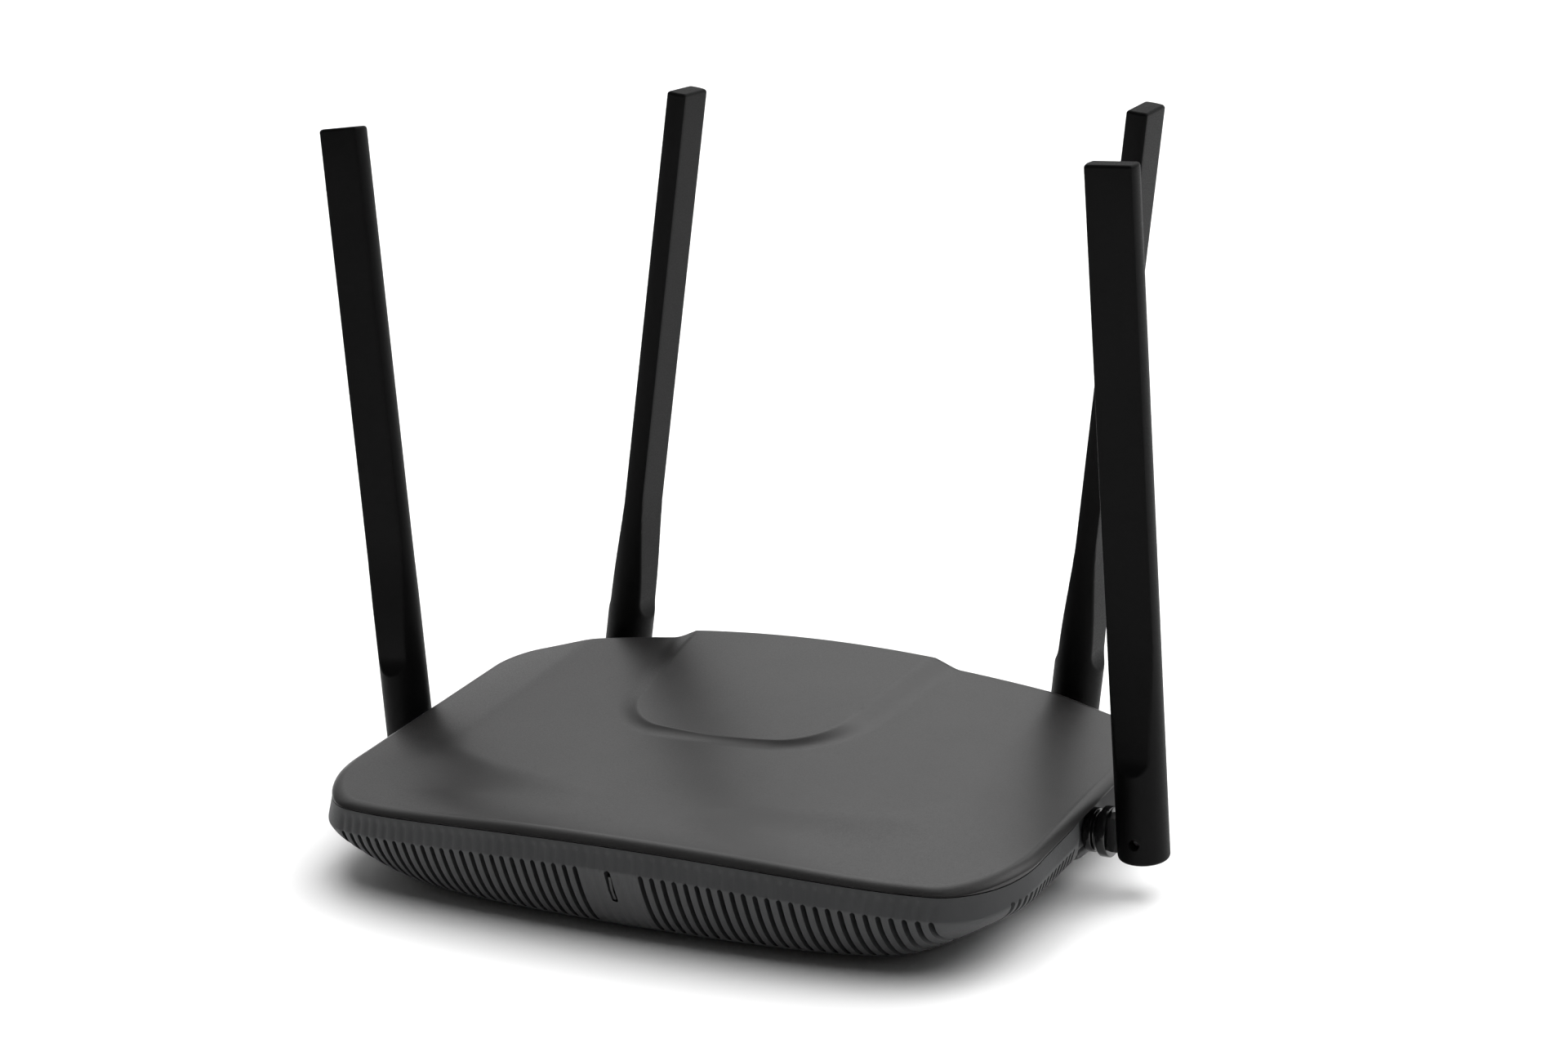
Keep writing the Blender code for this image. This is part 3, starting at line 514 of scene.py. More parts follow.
class Nodes:
    """A small helper for building a Principled material from procedural nodes."""

    def __init__(self, name, colour, roughness, metallic=0.0):
        self.material = bpy.data.materials.new(name)
        self.material.use_nodes = True
        self.tree = self.material.node_tree
        self.shader = self.tree.nodes["Principled BSDF"]
        self.shader.inputs["Base Color"].default_value = (*colour, 1.0)
        self.shader.inputs["Roughness"].default_value = roughness
        self.shader.inputs["Metallic"].default_value = metallic
        self.place = self.add("ShaderNodeTexCoord").outputs["Object"]

    def add(self, kind, **settings):
        made = self.tree.nodes.new(kind)
        for key, value in settings.items():
            setattr(made, key, value)
        return made

    def link(self, source, target):
        self.tree.links.new(source, target)

    def noise(self, scale, detail=3.0, roughness=0.6, stretch=None):
        made = self.add("ShaderNodeTexNoise")
        made.inputs["Scale"].default_value = scale
        made.inputs["Detail"].default_value = detail
        made.inputs["Roughness"].default_value = roughness
        place = self.place
        if stretch:
            mapping = self.add("ShaderNodeMapping")
            mapping.inputs["Scale"].default_value = stretch
            self.link(place, mapping.inputs["Vector"])
            place = mapping.outputs["Vector"]
        self.link(place, made.inputs["Vector"])
        return made.outputs["Fac"]

    def spots(self, scale, size):
        """Small sparse dots: 1 inside a dot and 0 outside."""
        made = self.add("ShaderNodeTexVoronoi")
        made.inputs["Scale"].default_value = scale
        self.link(self.place, made.inputs["Vector"])
        return self.range(made.outputs["Distance"], size, size * 0.4, 0.0, 1.0)

    def range(self, value, low, high, to_low, to_high):
        made = self.add("ShaderNodeMapRange")
        for name, number in zip(
            ("From Min", "From Max", "To Min", "To Max"), (low, high, to_low, to_high)
        ):
            made.inputs[name].default_value = number
        self.link(value, made.inputs["Value"])
        return made.outputs["Result"]

    def times(self, a, b):
        made = self.add("ShaderNodeMath", operation="MULTIPLY")
        self.link(a, made.inputs[0])
        self.link(b, made.inputs[1])
        return made.outputs[0]

    def roughness(self, value, low, high, to_low, to_high):
        self.link(self.range(value, low, high, to_low, to_high), self.shader.inputs["Roughness"])

    def colours(self, value, low, high, first, second):
        """Blends the base colour between two colours as a value goes from low to high."""
        mix = self.add("ShaderNodeMix", data_type="RGBA")
        mix.inputs["A"].default_value = (*first, 1.0)
        mix.inputs["B"].default_value = (*second, 1.0)
        self.link(self.range(value, low, high, 0.0, 1.0), mix.inputs["Factor"])
        self.link(mix.outputs["Result"], self.shader.inputs["Base Color"])

    def bump(self, value, height, strength=1.0):
        made = self.add("ShaderNodeBump")
        made.inputs["Distance"].default_value = height
        made.inputs["Strength"].default_value = strength
        self.link(value, made.inputs["Height"])
        previous = self.shader.inputs["Normal"]
        if previous.links:
            self.link(previous.links[0].from_socket, made.inputs["Normal"])
        self.link(made.outputs["Normal"], previous)


def moulded(name, colour, lighter, roughness, grain, height, rough_by=0.05):
    """Moulded plastic: spark-eroded grain, slow tone changes and uneven gloss."""
    nodes = Nodes(name, colour, roughness)
    slow = nodes.noise(60, 2.0)
    fine = nodes.noise(grain, 2.0, 0.5)
    nodes.colours(nodes.times(slow, fine), 0.18, 0.34, colour, lighter)
    nodes.roughness(fine, 0.35, 0.65, roughness - rough_by, roughness + rough_by)
    nodes.bump(fine, height)
    return nodes


def cover_plastic():
    dark, light = (0.0085, 0.0082, 0.0082), (0.0115, 0.011, 0.011)
    nodes = moulded("cover satin plastic", dark, light, 0.36, 2600, 0.008 * MM)
    nodes.bump(nodes.spots(240, 0.05), 0.015 * MM, 0.5)
    return nodes.material


def case_plastic():
    dark, light = (0.024, 0.0245, 0.0255), (0.03, 0.0305, 0.0315)
    return moulded("case matte plastic", dark, light, 0.58, 2000, 0.02 * MM).material


def antenna_plastic():
    dark, light = (0.0014, 0.0014, 0.0015), (0.0022, 0.0022, 0.0023)
    nodes = moulded("antenna matte plastic", dark, light, 0.5, 2200, 0.01 * MM)
    nodes.shader.inputs["Specular IOR Level"].default_value = 0.09
    return nodes.material


def knuckle_plastic():
    dark, light = (0.004, 0.004, 0.0042), (0.005, 0.005, 0.0052)
    return moulded("knuckle gloss plastic", dark, light, 0.16, 900, 0.002 * MM, 0.04).material


def jack_plastic():
    dark, light = (0.02, 0.02, 0.021), (0.026, 0.026, 0.027)
    return moulded("jack plastic", dark, light, 0.42, 1800, 0.006 * MM).material


def component_black():
    dark, light = (0.015, 0.015, 0.016), (0.022, 0.022, 0.023)
    return moulded("component epoxy", dark, light, 0.5, 3000, 0.01 * MM).material


def circuit_board():
    """Solder mask over copper: dark green with faint lighter traces."""
    mask, trace = (0.008, 0.05, 0.02), (0.014, 0.085, 0.034)
    nodes = Nodes("circuit board", mask, 0.35)
    traces = nodes.add("ShaderNodeTexBrick")
    traces.inputs["Scale"].default_value = 320
    traces.inputs["Mortar Size"].default_value = 0.12
    nodes.link(nodes.place, traces.inputs["Vector"])
    nodes.colours(traces.outputs["Fac"], 0.0, 1.0, mask, trace)
    nodes.bump(traces.outputs["Fac"], 0.03 * MM, 0.6)
    nodes.roughness(nodes.noise(400), 0.3, 0.7, 0.28, 0.42)
    return nodes.material


def rubber():
    dark, light = (0.012, 0.012, 0.012), (0.02, 0.02, 0.02)
    return moulded("rubber", dark, light, 0.82, 1600, 0.05 * MM).material


def metal(name, colour, roughness, stretch):
    """Metal with fine drawn lines."""
    nodes = Nodes(name, colour, roughness, 1.0)
    lines = nodes.noise(900, 3.0, 0.6, stretch)
    nodes.roughness(lines, 0.3, 0.7, roughness - 0.08, roughness + 0.1)
    nodes.bump(lines, 0.004 * MM)
    return nodes.material


def steel():
    return metal("zinc steel", (0.42, 0.42, 0.43), 0.34, (1, 1, 6))


def tinplate():
    return metal("tinplate", (0.62, 0.61, 0.58), 0.28, (1, 8, 1))


def aluminium():
    return metal("aluminium", (0.66, 0.67, 0.69), 0.36, (8, 1, 1))


def gold():
    return metal("contact gold", (0.75, 0.52, 0.2), 0.24, (1, 8, 1))


def clear_plastic():
    nodes = Nodes("smoked light pipe acrylic", (0.004, 0.004, 0.0045), 0.12)
    nodes.shader.inputs["Transmission Weight"].default_value = 0.1
    nodes.shader.inputs["IOR"].default_value = 1.49
    nodes.roughness(nodes.noise(500), 0.3, 0.7, 0.1, 0.22)
    return nodes.material


MATERIALS = {
    "cover_plastic": cover_plastic(),
    "case_plastic": case_plastic(),
    "antenna_plastic": antenna_plastic(),
    "knuckle_plastic": knuckle_plastic(),
    "jack_plastic": jack_plastic(),
    "component_black": component_black(),
    "circuit_board": circuit_board(),
    "rubber": rubber(),
    "steel": steel(),
    "tinplate": tinplate(),
    "aluminium": aluminium(),
    "light_pipe_clear": clear_plastic(),
}


def dress_cad_nodes():
    """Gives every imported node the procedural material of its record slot."""
    for entry in frame["record"]["subparts"]:
        node = frame["nodes"][entry["node"]]
        node.data.materials.clear()
        node.data.materials.append(MATERIALS[entry["material_slot"]])


# ---------------------------------------------------------------- hinges


def joint(name):
    return next(j for j in frame["joints"] if j["name"] == name)


def hinge_matrix(name):
    """The hinge's place: its pin at the origin, +X out of the case, +Y along the pin."""
    swivel = joint(f"{name}_antenna_swivel")
    outward = Vector(swivel["axis"]).normalized()
    across = Vector(joint(f"{name}_antenna_tilt")["axis"]).normalized()
    turn = Matrix((outward, across, outward.cross(across))).transposed()
    return Matrix.LocRotScale(Vector(swivel["pos_m"]), turn, None)


def antenna_matrix(name):
    """The hinge's place tipped by the antenna's tilt at rest. The tilt's lower limit is
    1 degree inside upright."""
    low = joint(f"{name}_antenna_tilt")["range_deg"][0]
    return hinge_matrix(name) @ Matrix.Rotation(math.radians(-1 - low), 4, "Y")


HINGES = [
    (
        Vector(joint(f"{name}_antenna_swivel")["pos_m"]),
        Vector(joint(f"{name}_antenna_swivel")["axis"]),
    )
    for name in ANTENNAS
]


# ---------------------------------------------------------------- cover


def shoulder(part):
    """The rim's profile: how far in and how far up, each from 0 to 1. It is close to a
    bevel that is rounded at the seam and at the top."""
    angle = math.pi / 2 * part
    return Vector((1 - math.cos(angle) ** SHOULDER_POWER, math.sin(angle) ** SHOULDER_POWER))


def build_cover():
    """One closed shell: from the inner ceiling down to the seam, over the rolled edge
    and in to the middle of the top."""
    plan = outline(100, 34, 72, 14, 76)
    edge = [inset(p, SHOULDER_INSET, SHOULDER_INSET, SHOULDER_INSET) for p in plan]
    inner = [inset(p, WALL, WALL, WALL) for p in plan]
    seam = [parting_height(p.x, p.y) + SEAM / 2 for p in plan]
    top = [top_height(p.x, p.y) for p in edge]
    base = [max(t - SHOULDER_DROP, s + 0.15 * MM) for t, s in zip(top, seam)]
    rings = []
    for scale in (0.02, 0.2, 0.4, 0.6, 0.75, 0.88, 1.0):
        rings.append([(*(p * scale), top_height(*(p * scale)) - WALL) for p in edge])
    rings.append([(*p, s) for p, s in zip(inner, seam)])
    slim = 0.22 * MM
    hem = [inset(p, slim, slim, slim) for p in plan]
    rings.append([(*p, s) for p, s in zip(hem, seam)])
    for part in (0.4, 1.0):
        ring = []
        for p, s, b in zip(plan, seam, base):
            ring.append((*p, s + (min(slim, b - s) if part < 1 else b - s)))
        rings.append(ring)
    steps = 12
    for i in range(1, steps):
        across, up = shoulder(i / steps)
        ring = []
        for p, q, b, t in zip(plan, edge, base, top):
            ring.append((*p.lerp(q, across), b + (t - b) * up))
        rings.append(ring)
    count = 150
    for i in range(count):
        scale = 1 - i / count
        rings.append([(*(p * scale), top_height(*(p * scale))) for p in edge])
    made = loft("cover_skin", rings)
    shade(made, 60)
    piece(made, "housing", "cover_plastic", ["top_cover"])


# ---------------------------------------------------------------- case


def slot_outline(middle, bottom, top, width):
    """An upright slot with round ends."""
    return rounded_rectangle((middle, (bottom + top) / 2), (width, top - bottom), width * 0.49)


def slot_meshes():
    """Cutters for the front slots, to both sides of the plain middle, and the side slots."""
    cutters = []
    for side in (-1, 1):
        for k in range(FRONT_SLOTS):
            x = side * (FIRST_SLOT + k) * SLOT_PITCH
            front = front_line(min(abs(x), HALF_WIDTH))
            top = parting_height(x, front) - BELLY_DROP
            shape = slot_outline(x, SLOT_BOTTOM, top, SLOT_WIDTH)
            cutters.append(prism_mesh(shape, "Y", front - 4 * MM, front + 12.5 * MM))
        for k in range(SIDE_SLOTS):
            y = SIDE_SLOT_START + k * SIDE_PITCH
            top = side_height(y) - SHOULDER_DROP - SIDE_SLOT_HEADROOM
            shape = slot_outline(y, SIDE_SLOT_BOTTOM, top, SIDE_SLOT_WIDTH)
            reach = sorted((side * 84 * MM, side * 114 * MM))
            cutters.append(prism_mesh(shape, "X", *reach))
    return cutters


def opening_round(node, radius):
    """A cutter through the rear wall around what shows in it."""
    low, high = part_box(node)
    centre = ((low.x + high.x) / 2, (low.z + high.z) / 2)
    size = (high.x - low.x + 2 * REAR_GAP, high.z - low.z + 2 * REAR_GAP)
    shape = rounded_rectangle(centre, size, radius)
    return prism_mesh(shape, "Y", REAR - 4 * MM, REAR + 4 * MM)


def inner_point(point, top):
    """The case's inner surface opposite a point of its outer surface."""
    flat = inset(point, WALL, WALL, WALL)
    return Vector((*flat, point.z + WALL * (1 - point.z / top)))


def case_shell():
    """The case without its openings: the outer surface, then the inner one."""
    plan = outline(216, 40, 80, 14, 100)
    outer = []
    for t in spread(1, 0, 34) + spread(0, -1, 14) + [-1]:
        outer.append([hull_point(p, t, HINGES) for p in plan])
    tops = [point.z for point in outer[-1]]
    inner = [[inner_point(p, top) for p, top in zip(ring, tops)] for ring in outer[::-3]]
    inner.append([inner_point(p, top) for p, top in zip(outer[0], tops)])
    return loft("case_skin", outer + inner)


def hinge_holes():
    """Cutters for each knuckle's shaft and for the clip behind the wall."""
    holes = []
    for point, outward in HINGES:
        axis = "X" if abs(outward.x) > 0.5 else "Y"
        middle = point - outward * (KNUCKLE_REACH + 3 * MM)
        holes.append(rod_mesh(HINGE_HOLE, 12 * MM, middle, axis, 48))
        middle = point - outward * (KNUCKLE_REACH + 7.6 * MM)
        holes.append(rod_mesh(CLIP_ROOM, 5.5 * MM, middle, axis, 48))
    return holes


def floor_holes():
    """Cutters for the wells of the screws and the feet."""
    holes = []
    for i in range(1, 5):
        low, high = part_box(f"case_screw_{i}")
        middle = Vector(((low.x + high.x) / 2, (low.y + high.y) / 2, 1.2 * MM))
        holes.append(rod_mesh(SCREW_WELL, 6 * MM, middle, "Z"))
        low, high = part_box(f"rubber_foot_{i}")
        middle = (low + high) / 2
        holes.append(rod_mesh(FOOT_WELL, 2 * MM, (middle.x, middle.y, -0.4 * MM), "Z", 64))
    return holes


def build_case():
    shape = case_shell()
    combine(shape, "DIFFERENCE", slot_meshes())
    holes = hinge_holes()
    holes += [opening_round(node, radius) for node, radius in REAR_OPENINGS]
    holes += floor_holes()
    low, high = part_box("reset_plunger")
    middle = (low + high) / 2
    holes.append(rod_mesh(RESET_HOLE, 8 * MM, (middle.x, REAR, middle.z), "Y", 32))
    slit = rounded_rectangle((0, LED_SLIT_MIDDLE), LED_SLIT, 0.95 * MM)
    holes.append(prism_mesh(slit, "Y", FRONT - 5 * MM, FRONT + 9 * MM))
    combine(shape, "DIFFERENCE", holes)
    shade(shape, 40)
    piece(shape, "housing", "case_plastic", ["bottom_case"])


# ---------------------------------------------------------------- antennas


def blade_half(height):
    """Half the antenna's thickness at a height above its pin. Below the scoop it is more
    than the barrel's radius, so that nothing is cut away there."""
    flat = BLADE_HALF + 2.1 * MM * smoothstep(62 * MM, 24 * MM, height)
    up = (height - SCOOP) / SCOOP_RUNOUT
    runout = 1 - 2.2 * up if up < 0 else max(1 - up, 0.0) ** 2.2
    return flat + (BARREL - flat) * runout


def antenna_ring(height, radius, half):
    """A round section cut flat on two sides, with soft edges. X is the blade's width."""
    ring = []
    for i in range(ANTENNA_SIDES):
        angle = 2 * math.pi * i / ANTENNA_SIDES
        flat = half / max(abs(math.sin(angle)), 1e-6)
        reach = soft_min(radius, flat, BLADE_EDGE)
        ring.append((reach * math.cos(angle), reach * math.sin(angle), height))
    return ring


def foot_ring(height):
    """A ring of the foot, with the larger rounding on the side that turns past the
    knuckle."""
    up = height + ANTENNA_FOOT
    edge = max(FOOT_EDGE - up, 0.0)
    radius = BARREL - FOOT_EDGE + math.sqrt(max(FOOT_EDGE**2 - edge**2, 0.0))
    turn = max(FOOT_ROUND - up, 0.0)
    limit = -BARREL + FOOT_ROUND - math.sqrt(max(FOOT_ROUND**2 - turn**2, 0.0))
    ring = antenna_ring(height, radius, BARREL * 1.3)
    return [(soft_max(x, limit, 0.4 * MM), y, z) for x, y, z in ring]


def tip_ring(part):
    """A ring of the rounded tip, from its lower edge at 0 to the end face at 1."""
    angle = math.pi / 2 * part
    shrink = TIP_EDGE * (1 - math.cos(angle))
    height = ANTENNA_LENGTH - TIP_EDGE * (1 - math.sin(angle))
    return antenna_ring(height, BARREL - shrink, BLADE_HALF - shrink)


def antenna_rings():
    """The rings from the foot to the tip, closest together round the scoop."""
    rings = []
    for height in spread(0, FOOT_EDGE, 7) + spread(FOOT_EDGE, FOOT_ROUND + 0.4 * MM, 6):
        rings.append(foot_ring(height - ANTENNA_FOOT))
    for low, high, steps in (
        (FOOT_ROUND - ANTENNA_FOOT + 0.6 * MM, SCOOP - 1.2 * MM, 5),
        (SCOOP - 1.2 * MM, SCOOP + SCOOP_RUNOUT, 44),
        (SCOOP + SCOOP_RUNOUT, BLADE_START, 30),
        (BLADE_START, ANTENNA_LENGTH - TIP_EDGE, 8),
    ):
        rings += [antenna_ring(z, BARREL, blade_half(z)) for z in spread(low, high, steps)]
    return rings + [tip_ring(i / 6) for i in range(7)]


def fork_mesh():
    """A cutter for the slot in the barrel that the knuckle's eye turns in."""
    away = -12 * MM
    reach = EYE + 0.5 * MM
    corner = reach - 2 * MM
    shape = [(away, away), (reach, away), (reach, corner), (corner, reach), (away, reach)]
    half = TONGUE / 2 + 0.3 * MM
    return prism_mesh(shape, "Y", -half, half)


def build_antenna(name):
    made = loft(f"{name}_antenna_body", antenna_rings())
    combine(made, "DIFFERENCE", [fork_mesh()])
    combine(made, "DIFFERENCE", [rod_mesh(PIN_HOLE, 20 * MM, (0, 0, 0), "Y", 32)])
    shade(made, 38)
    made.matrix_world = antenna_matrix(name)
    piece(made, f"{name}_antenna", "antenna_plastic", [f"{name}_antenna_shell"])


def build_knuckle(name):
    """Turned rings and shaft along the hinge's X, ending in a flat eye at the pin."""
    profile = [
        (0, -8.6), (7.1, -8.6), (7.1, -11.4), (5.0, -11.4), (5.0, -13.1), (6.2, -13.1),
        (6.2, -15.6), (3.6, -15.6), (3.6, -21.2), (2.9, -21.2), (2.9, -22.3), (3.6, -22.3),
        (3.6, -23.4), (0, -23.4),
    ]
    made = turned(f"{name}_knuckle_body", profile, 72, 0.45)
    made.data.transform(Matrix.Rotation(math.pi / 2, 4, "Y"))
    eye = [(-10 * MM, -EYE), (0, -EYE)]
    steps = 20
    for i in range(1, steps):
        angle = -math.pi / 2 + math.pi * i / steps
        eye.append((EYE * math.cos(angle), EYE * math.sin(angle)))
    eye += [(0, EYE), (-10 * MM, EYE)]
    combine(made, "UNION", [prism_mesh(eye, "Y", -TONGUE / 2, TONGUE / 2)])
    combine(made, "DIFFERENCE", [rod_mesh(PIN_HOLE, 20 * MM, (0, 0, 0), "Y", 32)])
    shade(made, 38)
    made.matrix_world = hinge_matrix(name)
    piece(made, f"{name}_swivel", "knuckle_plastic", [f"{name}_knuckle"])


def build_pin(name):
    """The hinge pin, with its ends rounded over."""
    half = BARREL / MM - 3
    profile = [(0, half), (PIN / MM, half), (PIN / MM, -half), (0, -half)]
    made = turned(f"{name}_pin_body", profile, 32, 0.35)
    made.data.transform(Matrix.Rotation(math.pi / 2, 4, "X"))
    made.matrix_world = antenna_matrix(name)
    piece(made, f"{name}_antenna", "steel", [f"{name}_hinge_pin"])


# ---------------------------------------------------------------- rear panel and base


def port_mouth(x, floor):
    """A socket's mouth and the two steps of its latch notch, as cutters."""
    width, depth, height = PORT
    back, out = JACK_FACE - depth, JACK_FACE + 2 * MM
    mouth = rounded_rectangle((x, floor + height / 2), (width, height), 0.3 * MM, 2)
    notch_low = floor - 1.7 * MM
    notch = [
        (x - 3.0 * MM, floor + 0.4 * MM),
        (x - 3.0 * MM, floor - 0.7 * MM),
        (x - 2.0 * MM, floor - 0.7 * MM),
        (x - 2.0 * MM, notch_low),
        (x + 2.0 * MM, notch_low),
        (x + 2.0 * MM, floor - 0.7 * MM),
        (x + 3.0 * MM, floor - 0.7 * MM),
        (x + 3.0 * MM, floor + 0.4 * MM),
    ]
    return prism_mesh(mouth, "Y", back, out), prism_mesh(notch, "Y", back, out)


def contact_meshes(x, floor):
    """Eight sprung contacts that slant down into a socket from its roof."""
    made = []
    pitch = 1.02 * MM
    roof = floor + PORT[2]
    for k in range(8):
        middle = x + (k - 3.5) * pitch
        line = [
            (JACK_FACE - 1.2 * MM, roof - 0.5 * MM),
            (JACK_FACE - 2.2 * MM, roof - 1.1 * MM),
            (JACK_FACE - 9.0 * MM, roof - 3.6 * MM),
            (JACK_FACE - 10.2 * MM, roof - 3.4 * MM),
            (JACK_FACE - 11.8 * MM, roof - 2.6 * MM),
            (JACK_FACE - 11.8 * MM, roof - 2.9 * MM),
            (JACK_FACE - 10.1 * MM, roof - 3.75 * MM),
            (JACK_FACE - 8.9 * MM, roof - 3.95 * MM),
            (JACK_FACE - 2.0 * MM, roof - 1.4 * MM),
            (JACK_FACE - 1.0 * MM, roof - 0.8 * MM),
        ]
        made.append(prism_mesh(line, "X", middle - 0.18 * MM, middle + 0.18 * MM))
    return made


def build_jack(node, ports):
    low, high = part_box(node)
    centre = (low + high) / 2
    made = new_object(f"{node}_body", box_mesh(high - low, centre, 0.25 * MM))
    floor = low.z + 2.2 * MM
    contacts = []
    for k in range(ports):
        x = centre.x + (k - (ports - 1) / 2) * PORT_PITCH
        mouth, notch = port_mouth(x, floor)
        combine(made, "DIFFERENCE", [mouth])
        combine(made, "DIFFERENCE", [notch])
        contacts += contact_meshes(x, floor)
    shade(made, 30)
    piece(made, "housing", "jack_plastic", [node])
    springs = merged(f"{node}_contacts", contacts)
    piece(springs, "housing", None, material=GOLD)


def build_power_jack():
    low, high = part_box("power_jack")
    centre = (low + high) / 2
    made = new_object("power_jack_body", box_mesh(high - low, centre, 0.4 * MM))
    mouth = rod_mesh(3.1 * MM, 20 * MM, (centre.x, high.y, centre.z), "Y", 64)
    combine(made, "DIFFERENCE", [mouth])
    shade(made, 30)
    piece(made, "housing", "jack_plastic", ["power_jack"])
    profile = [(0, 6.2), (0.5, 6.2), (1.0, 5.6), (1.0, -4.8), (0, -4.8)]
    pin = turned("power_jack_pin", profile, 32, 0.2)
    pin.data.transform(Matrix.Rotation(-math.pi / 2, 4, "X"))
    pin.location = (centre.x, high.y - 8 * MM, centre.z)
    piece(pin, "housing", "steel")


def build_buttons():
    low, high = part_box("power_button")
    made = new_object("power_button_cap", box_mesh(high - low, (low + high) / 2, 0.7 * MM))
    shade(made, 60)
    piece(made, "power_button_cap", "knuckle_plastic", ["power_button"])
    low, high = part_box("wps_button")
    centre = (low + high) / 2
    radius = (high.z - low.z) / 2 / MM
    length = (high.y - low.y) / MM
    profile = [
        (0, -0.35), (1.2, -0.3), (1.8, 0), (2.2, 0), (radius, -0.5), (radius, -length), (0, -length)
    ]
    made = turned("wps_button_body", profile, 64, 0.25)
    made.data.transform(Matrix.Rotation(-math.pi / 2, 4, "X"))
    made.location = (centre.x, high.y, centre.z)
    piece(made, "wps_button_cap", "knuckle_plastic", ["wps_button"])


def build_feet():
    for i in range(1, 5):
        low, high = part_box(f"rubber_foot_{i}")
        radius = (high.x - low.x) / 2 / MM
        bottom = low.z / MM
        top = high.z / MM
        profile = [
            (0, top), (radius - 0.1, top), (radius, top - 0.3), (radius - 0.5, bottom),
            (radius - 1.6, bottom), (radius - 2.0, bottom + 0.25), (0, bottom + 0.25),
        ]
        made = turned(f"foot_pad_{i}", profile, 64, 0.3)
        made.location = ((low.x + high.x) / 2, (low.y + high.y) / 2, 0)
        piece(made, "housing", "rubber", [f"rubber_foot_{i}"])


def build_screws():
    """Pan-head case screws with a cross recess."""
    for i in range(1, 5):
        low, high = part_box(f"case_screw_{i}")
        middle = Vector(((low.x + high.x) / 2, (low.y + high.y) / 2, 0))
        profile = [(0, 18), (1.5, 18), (1.5, 3.9), (3.3, 3.9), (3.3, 2.7), (2.7, 2.0), (0, 2.0)]
        made = turned(f"case_screw_body_{i}", profile, 40, 0.3)
        for size in ((3.6 * MM, 0.7 * MM, 2.4 * MM), (0.7 * MM, 3.6 * MM, 2.4 * MM)):
            combine(made, "DIFFERENCE", [box_mesh(size, (0, 0, 2 * MM))])
        made.location = middle
        shade(made, 38)
        piece(made, "housing", "steel", [f"case_screw_{i}"])


# ---------------------------------------------------------------- stage


def build_camera():
    data = bpy.data.cameras.new("camera")
    data.lens = CAMERA_LENS
    data.sensor_width = SENSOR_WIDTH
    data.clip_start = 0.01
    data.clip_end = 50
    yaw, pitch, roll = (math.radians(a) for a in CAMERA_TURN)
    turn = Matrix.Rotation(yaw, 3, "Z") @ Matrix.Rotation(math.pi / 2 + pitch, 3, "X")
    made = new_object("camera", data)
    made.matrix_world = Matrix.LocRotScale(
        Vector(CAMERA_PLACE), turn @ Matrix.Rotation(roll, 3, "Z"), None
    )
    bpy.context.scene.camera = made


def build_floor():
    """A pale, level floor that the router stands on."""
    shape = bmesh.new()
    bmesh.ops.create_grid(shape, x_segments=8, y_segments=8, size=FLOOR_SIZE)
    floor = new_object("floor", mesh_from("floor", shape))
    floor.location.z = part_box("rubber_foot_1")[0].z
    nodes = Nodes("pale floor", (0.9, 0.9, 0.9), 0.8)
    nodes.colours(nodes.noise(3), 0.3, 0.7, (0.89, 0.89, 0.89), (0.91, 0.91, 0.91))
    floor.data.materials.append(nodes.material)


def build_backdrop():
    """A round white wall far off that closes the background. It lights nothing and shows
    in no reflection, since the world does both."""
    shape = bmesh.new()
    bmesh.ops.create_cone(
        shape,
        cap_ends=False,
        segments=96,
        radius1=WALL_RADIUS,
        radius2=WALL_RADIUS,
        depth=WALL_RADIUS,
    )
    wall = new_object("backdrop", mesh_from("backdrop", shape))
    nodes = Nodes("white backdrop", (0, 0, 0), 0.9)
    nodes.shader.inputs["Specular IOR Level"].default_value = 0
    nodes.shader.inputs["Emission Color"].default_value = (1, 1, 1, 1)
    nodes.shader.inputs["Emission Strength"].default_value = 1
    wall.data.materials.append(nodes.material)
    for ray in ("diffuse", "glossy", "transmission", "shadow"):
        setattr(wall, f"visible_{ray}", False)


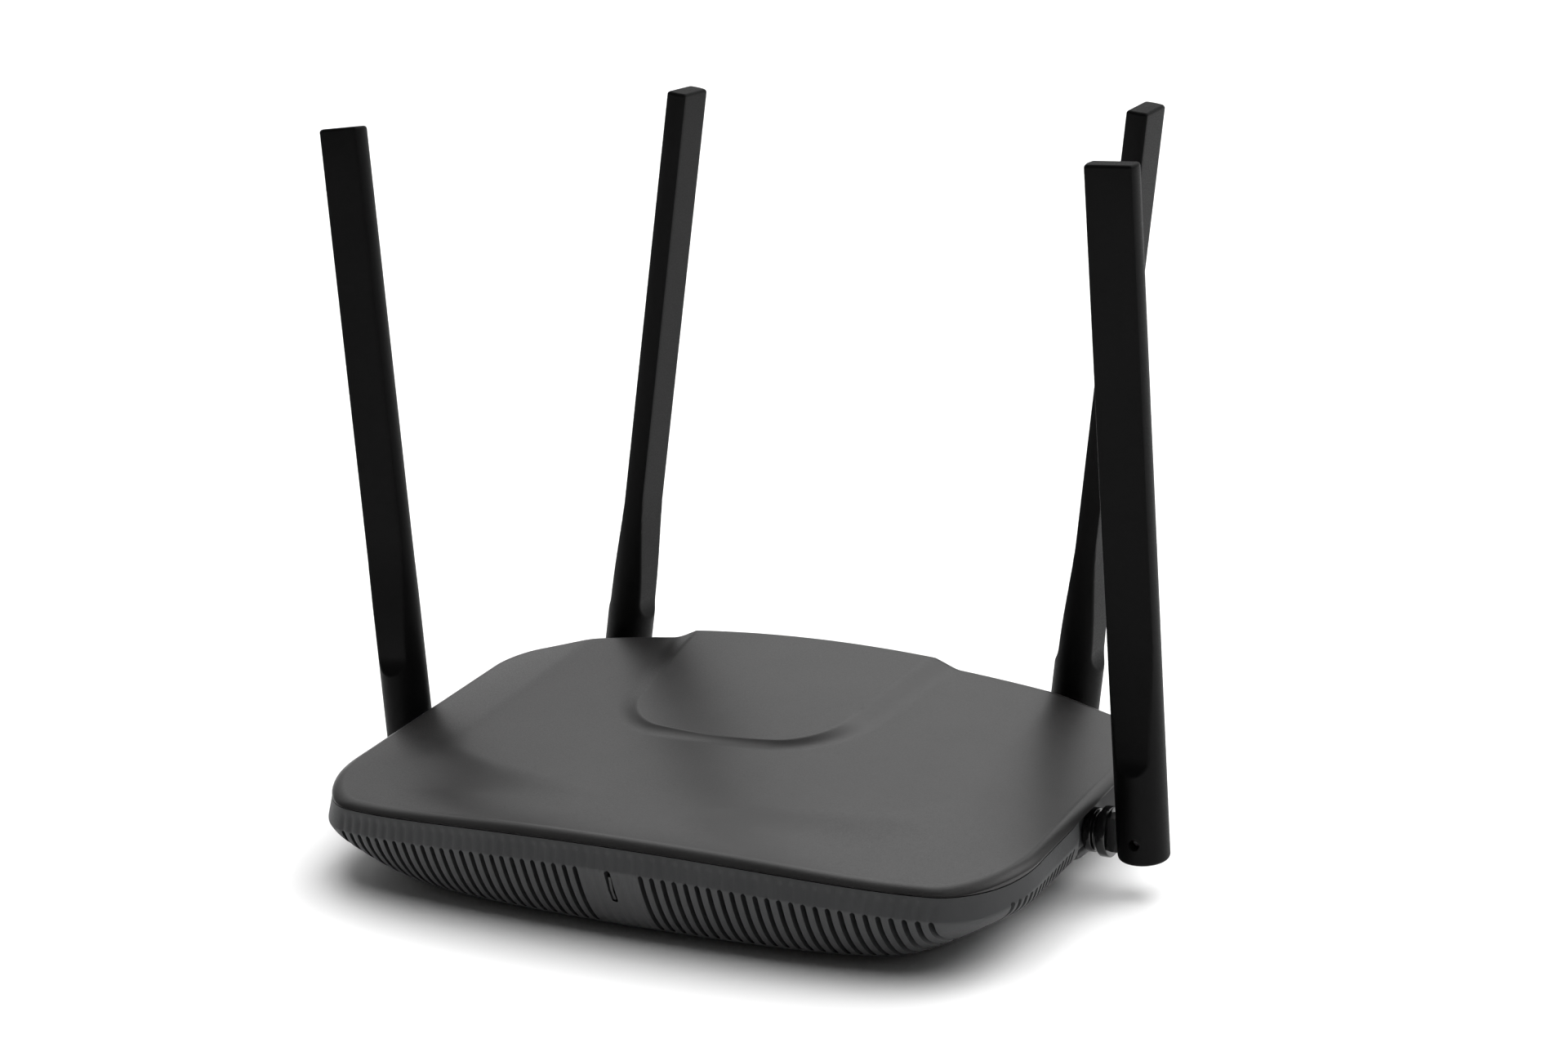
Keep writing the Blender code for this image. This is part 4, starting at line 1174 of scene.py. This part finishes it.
def soft_light(name, elevation, azimuth, strength, width):
    """A broad soft light far off, which shows in no reflection. The azimuth is in degrees
    anticlockwise from +X, and the width is the angle that it covers."""
    data = bpy.data.lights.new(name, "SUN")
    data.energy = strength
    data.angle = math.radians(width)
    made = new_object(name, data)
    made.visible_glossy = False
    turn = Matrix.Rotation(math.radians(azimuth), 3, "Z")
    tip = Matrix.Rotation(math.radians(-elevation), 3, "Y")
    toward = turn @ tip @ Vector((1, 0, 0))
    made.rotation_euler = toward.to_track_quat("Z", "Y").to_euler()


def build_world():
    """A studio sky that is brightest half way up behind the router, and dark overhead."""
    world = bpy.data.worlds.new("studio")
    bpy.context.scene.world = world
    world.use_nodes = True
    tree = world.node_tree
    background = tree.nodes["Background"]
    place = tree.nodes.new("ShaderNodeTexCoord").outputs["Generated"]
    split = tree.nodes.new("ShaderNodeSeparateXYZ")
    tree.links.new(place, split.inputs["Vector"])
    height = tree.nodes.new("ShaderNodeValToRGB")
    tree.links.new(split.outputs["Z"], height.inputs["Fac"])
    ramp = height.color_ramp
    for position, _ in BACKDROP[1:-1]:
        ramp.elements.new(position)
    for element, (_, value) in zip(ramp.elements, BACKDROP):
        element.color = (value, value, value, 1)
    facing = tree.nodes.new("ShaderNodeVectorMath")
    facing.operation = "DOT_PRODUCT"
    facing.inputs[1].default_value = BACKDROP_WAY
    tree.links.new(place, facing.inputs[0])
    side = tree.nodes.new("ShaderNodeMapRange")
    for name, number in BACKDROP_SPREAD.items():
        side.inputs[name].default_value = number
    tree.links.new(facing.outputs["Value"], side.inputs["Value"])
    both = tree.nodes.new("ShaderNodeVectorMath")
    both.operation = "SCALE"
    tree.links.new(height.outputs["Color"], both.inputs[0])
    tree.links.new(side.outputs["Result"], both.inputs["Scale"])
    tree.links.new(both.outputs["Vector"], background.inputs["Color"])
    background.inputs["Strength"].default_value = BACKDROP_STRENGTH


def build_light():
    bpy.context.scene.view_settings.view_transform = "Standard"
    build_world()
    soft_light("overhead light", *OVERHEAD)


GOLD = gold()
build_camera()
build_floor()
build_backdrop()
build_light()
dress_cad_nodes()
build_cover()
build_case()
for antenna in ANTENNAS:
    build_antenna(antenna)
    build_knuckle(antenna)
    build_pin(antenna)
build_jack("lan_jack_block", 4)
build_jack("wan_jack", 1)
build_power_jack()
build_buttons()
build_feet()
build_screws()
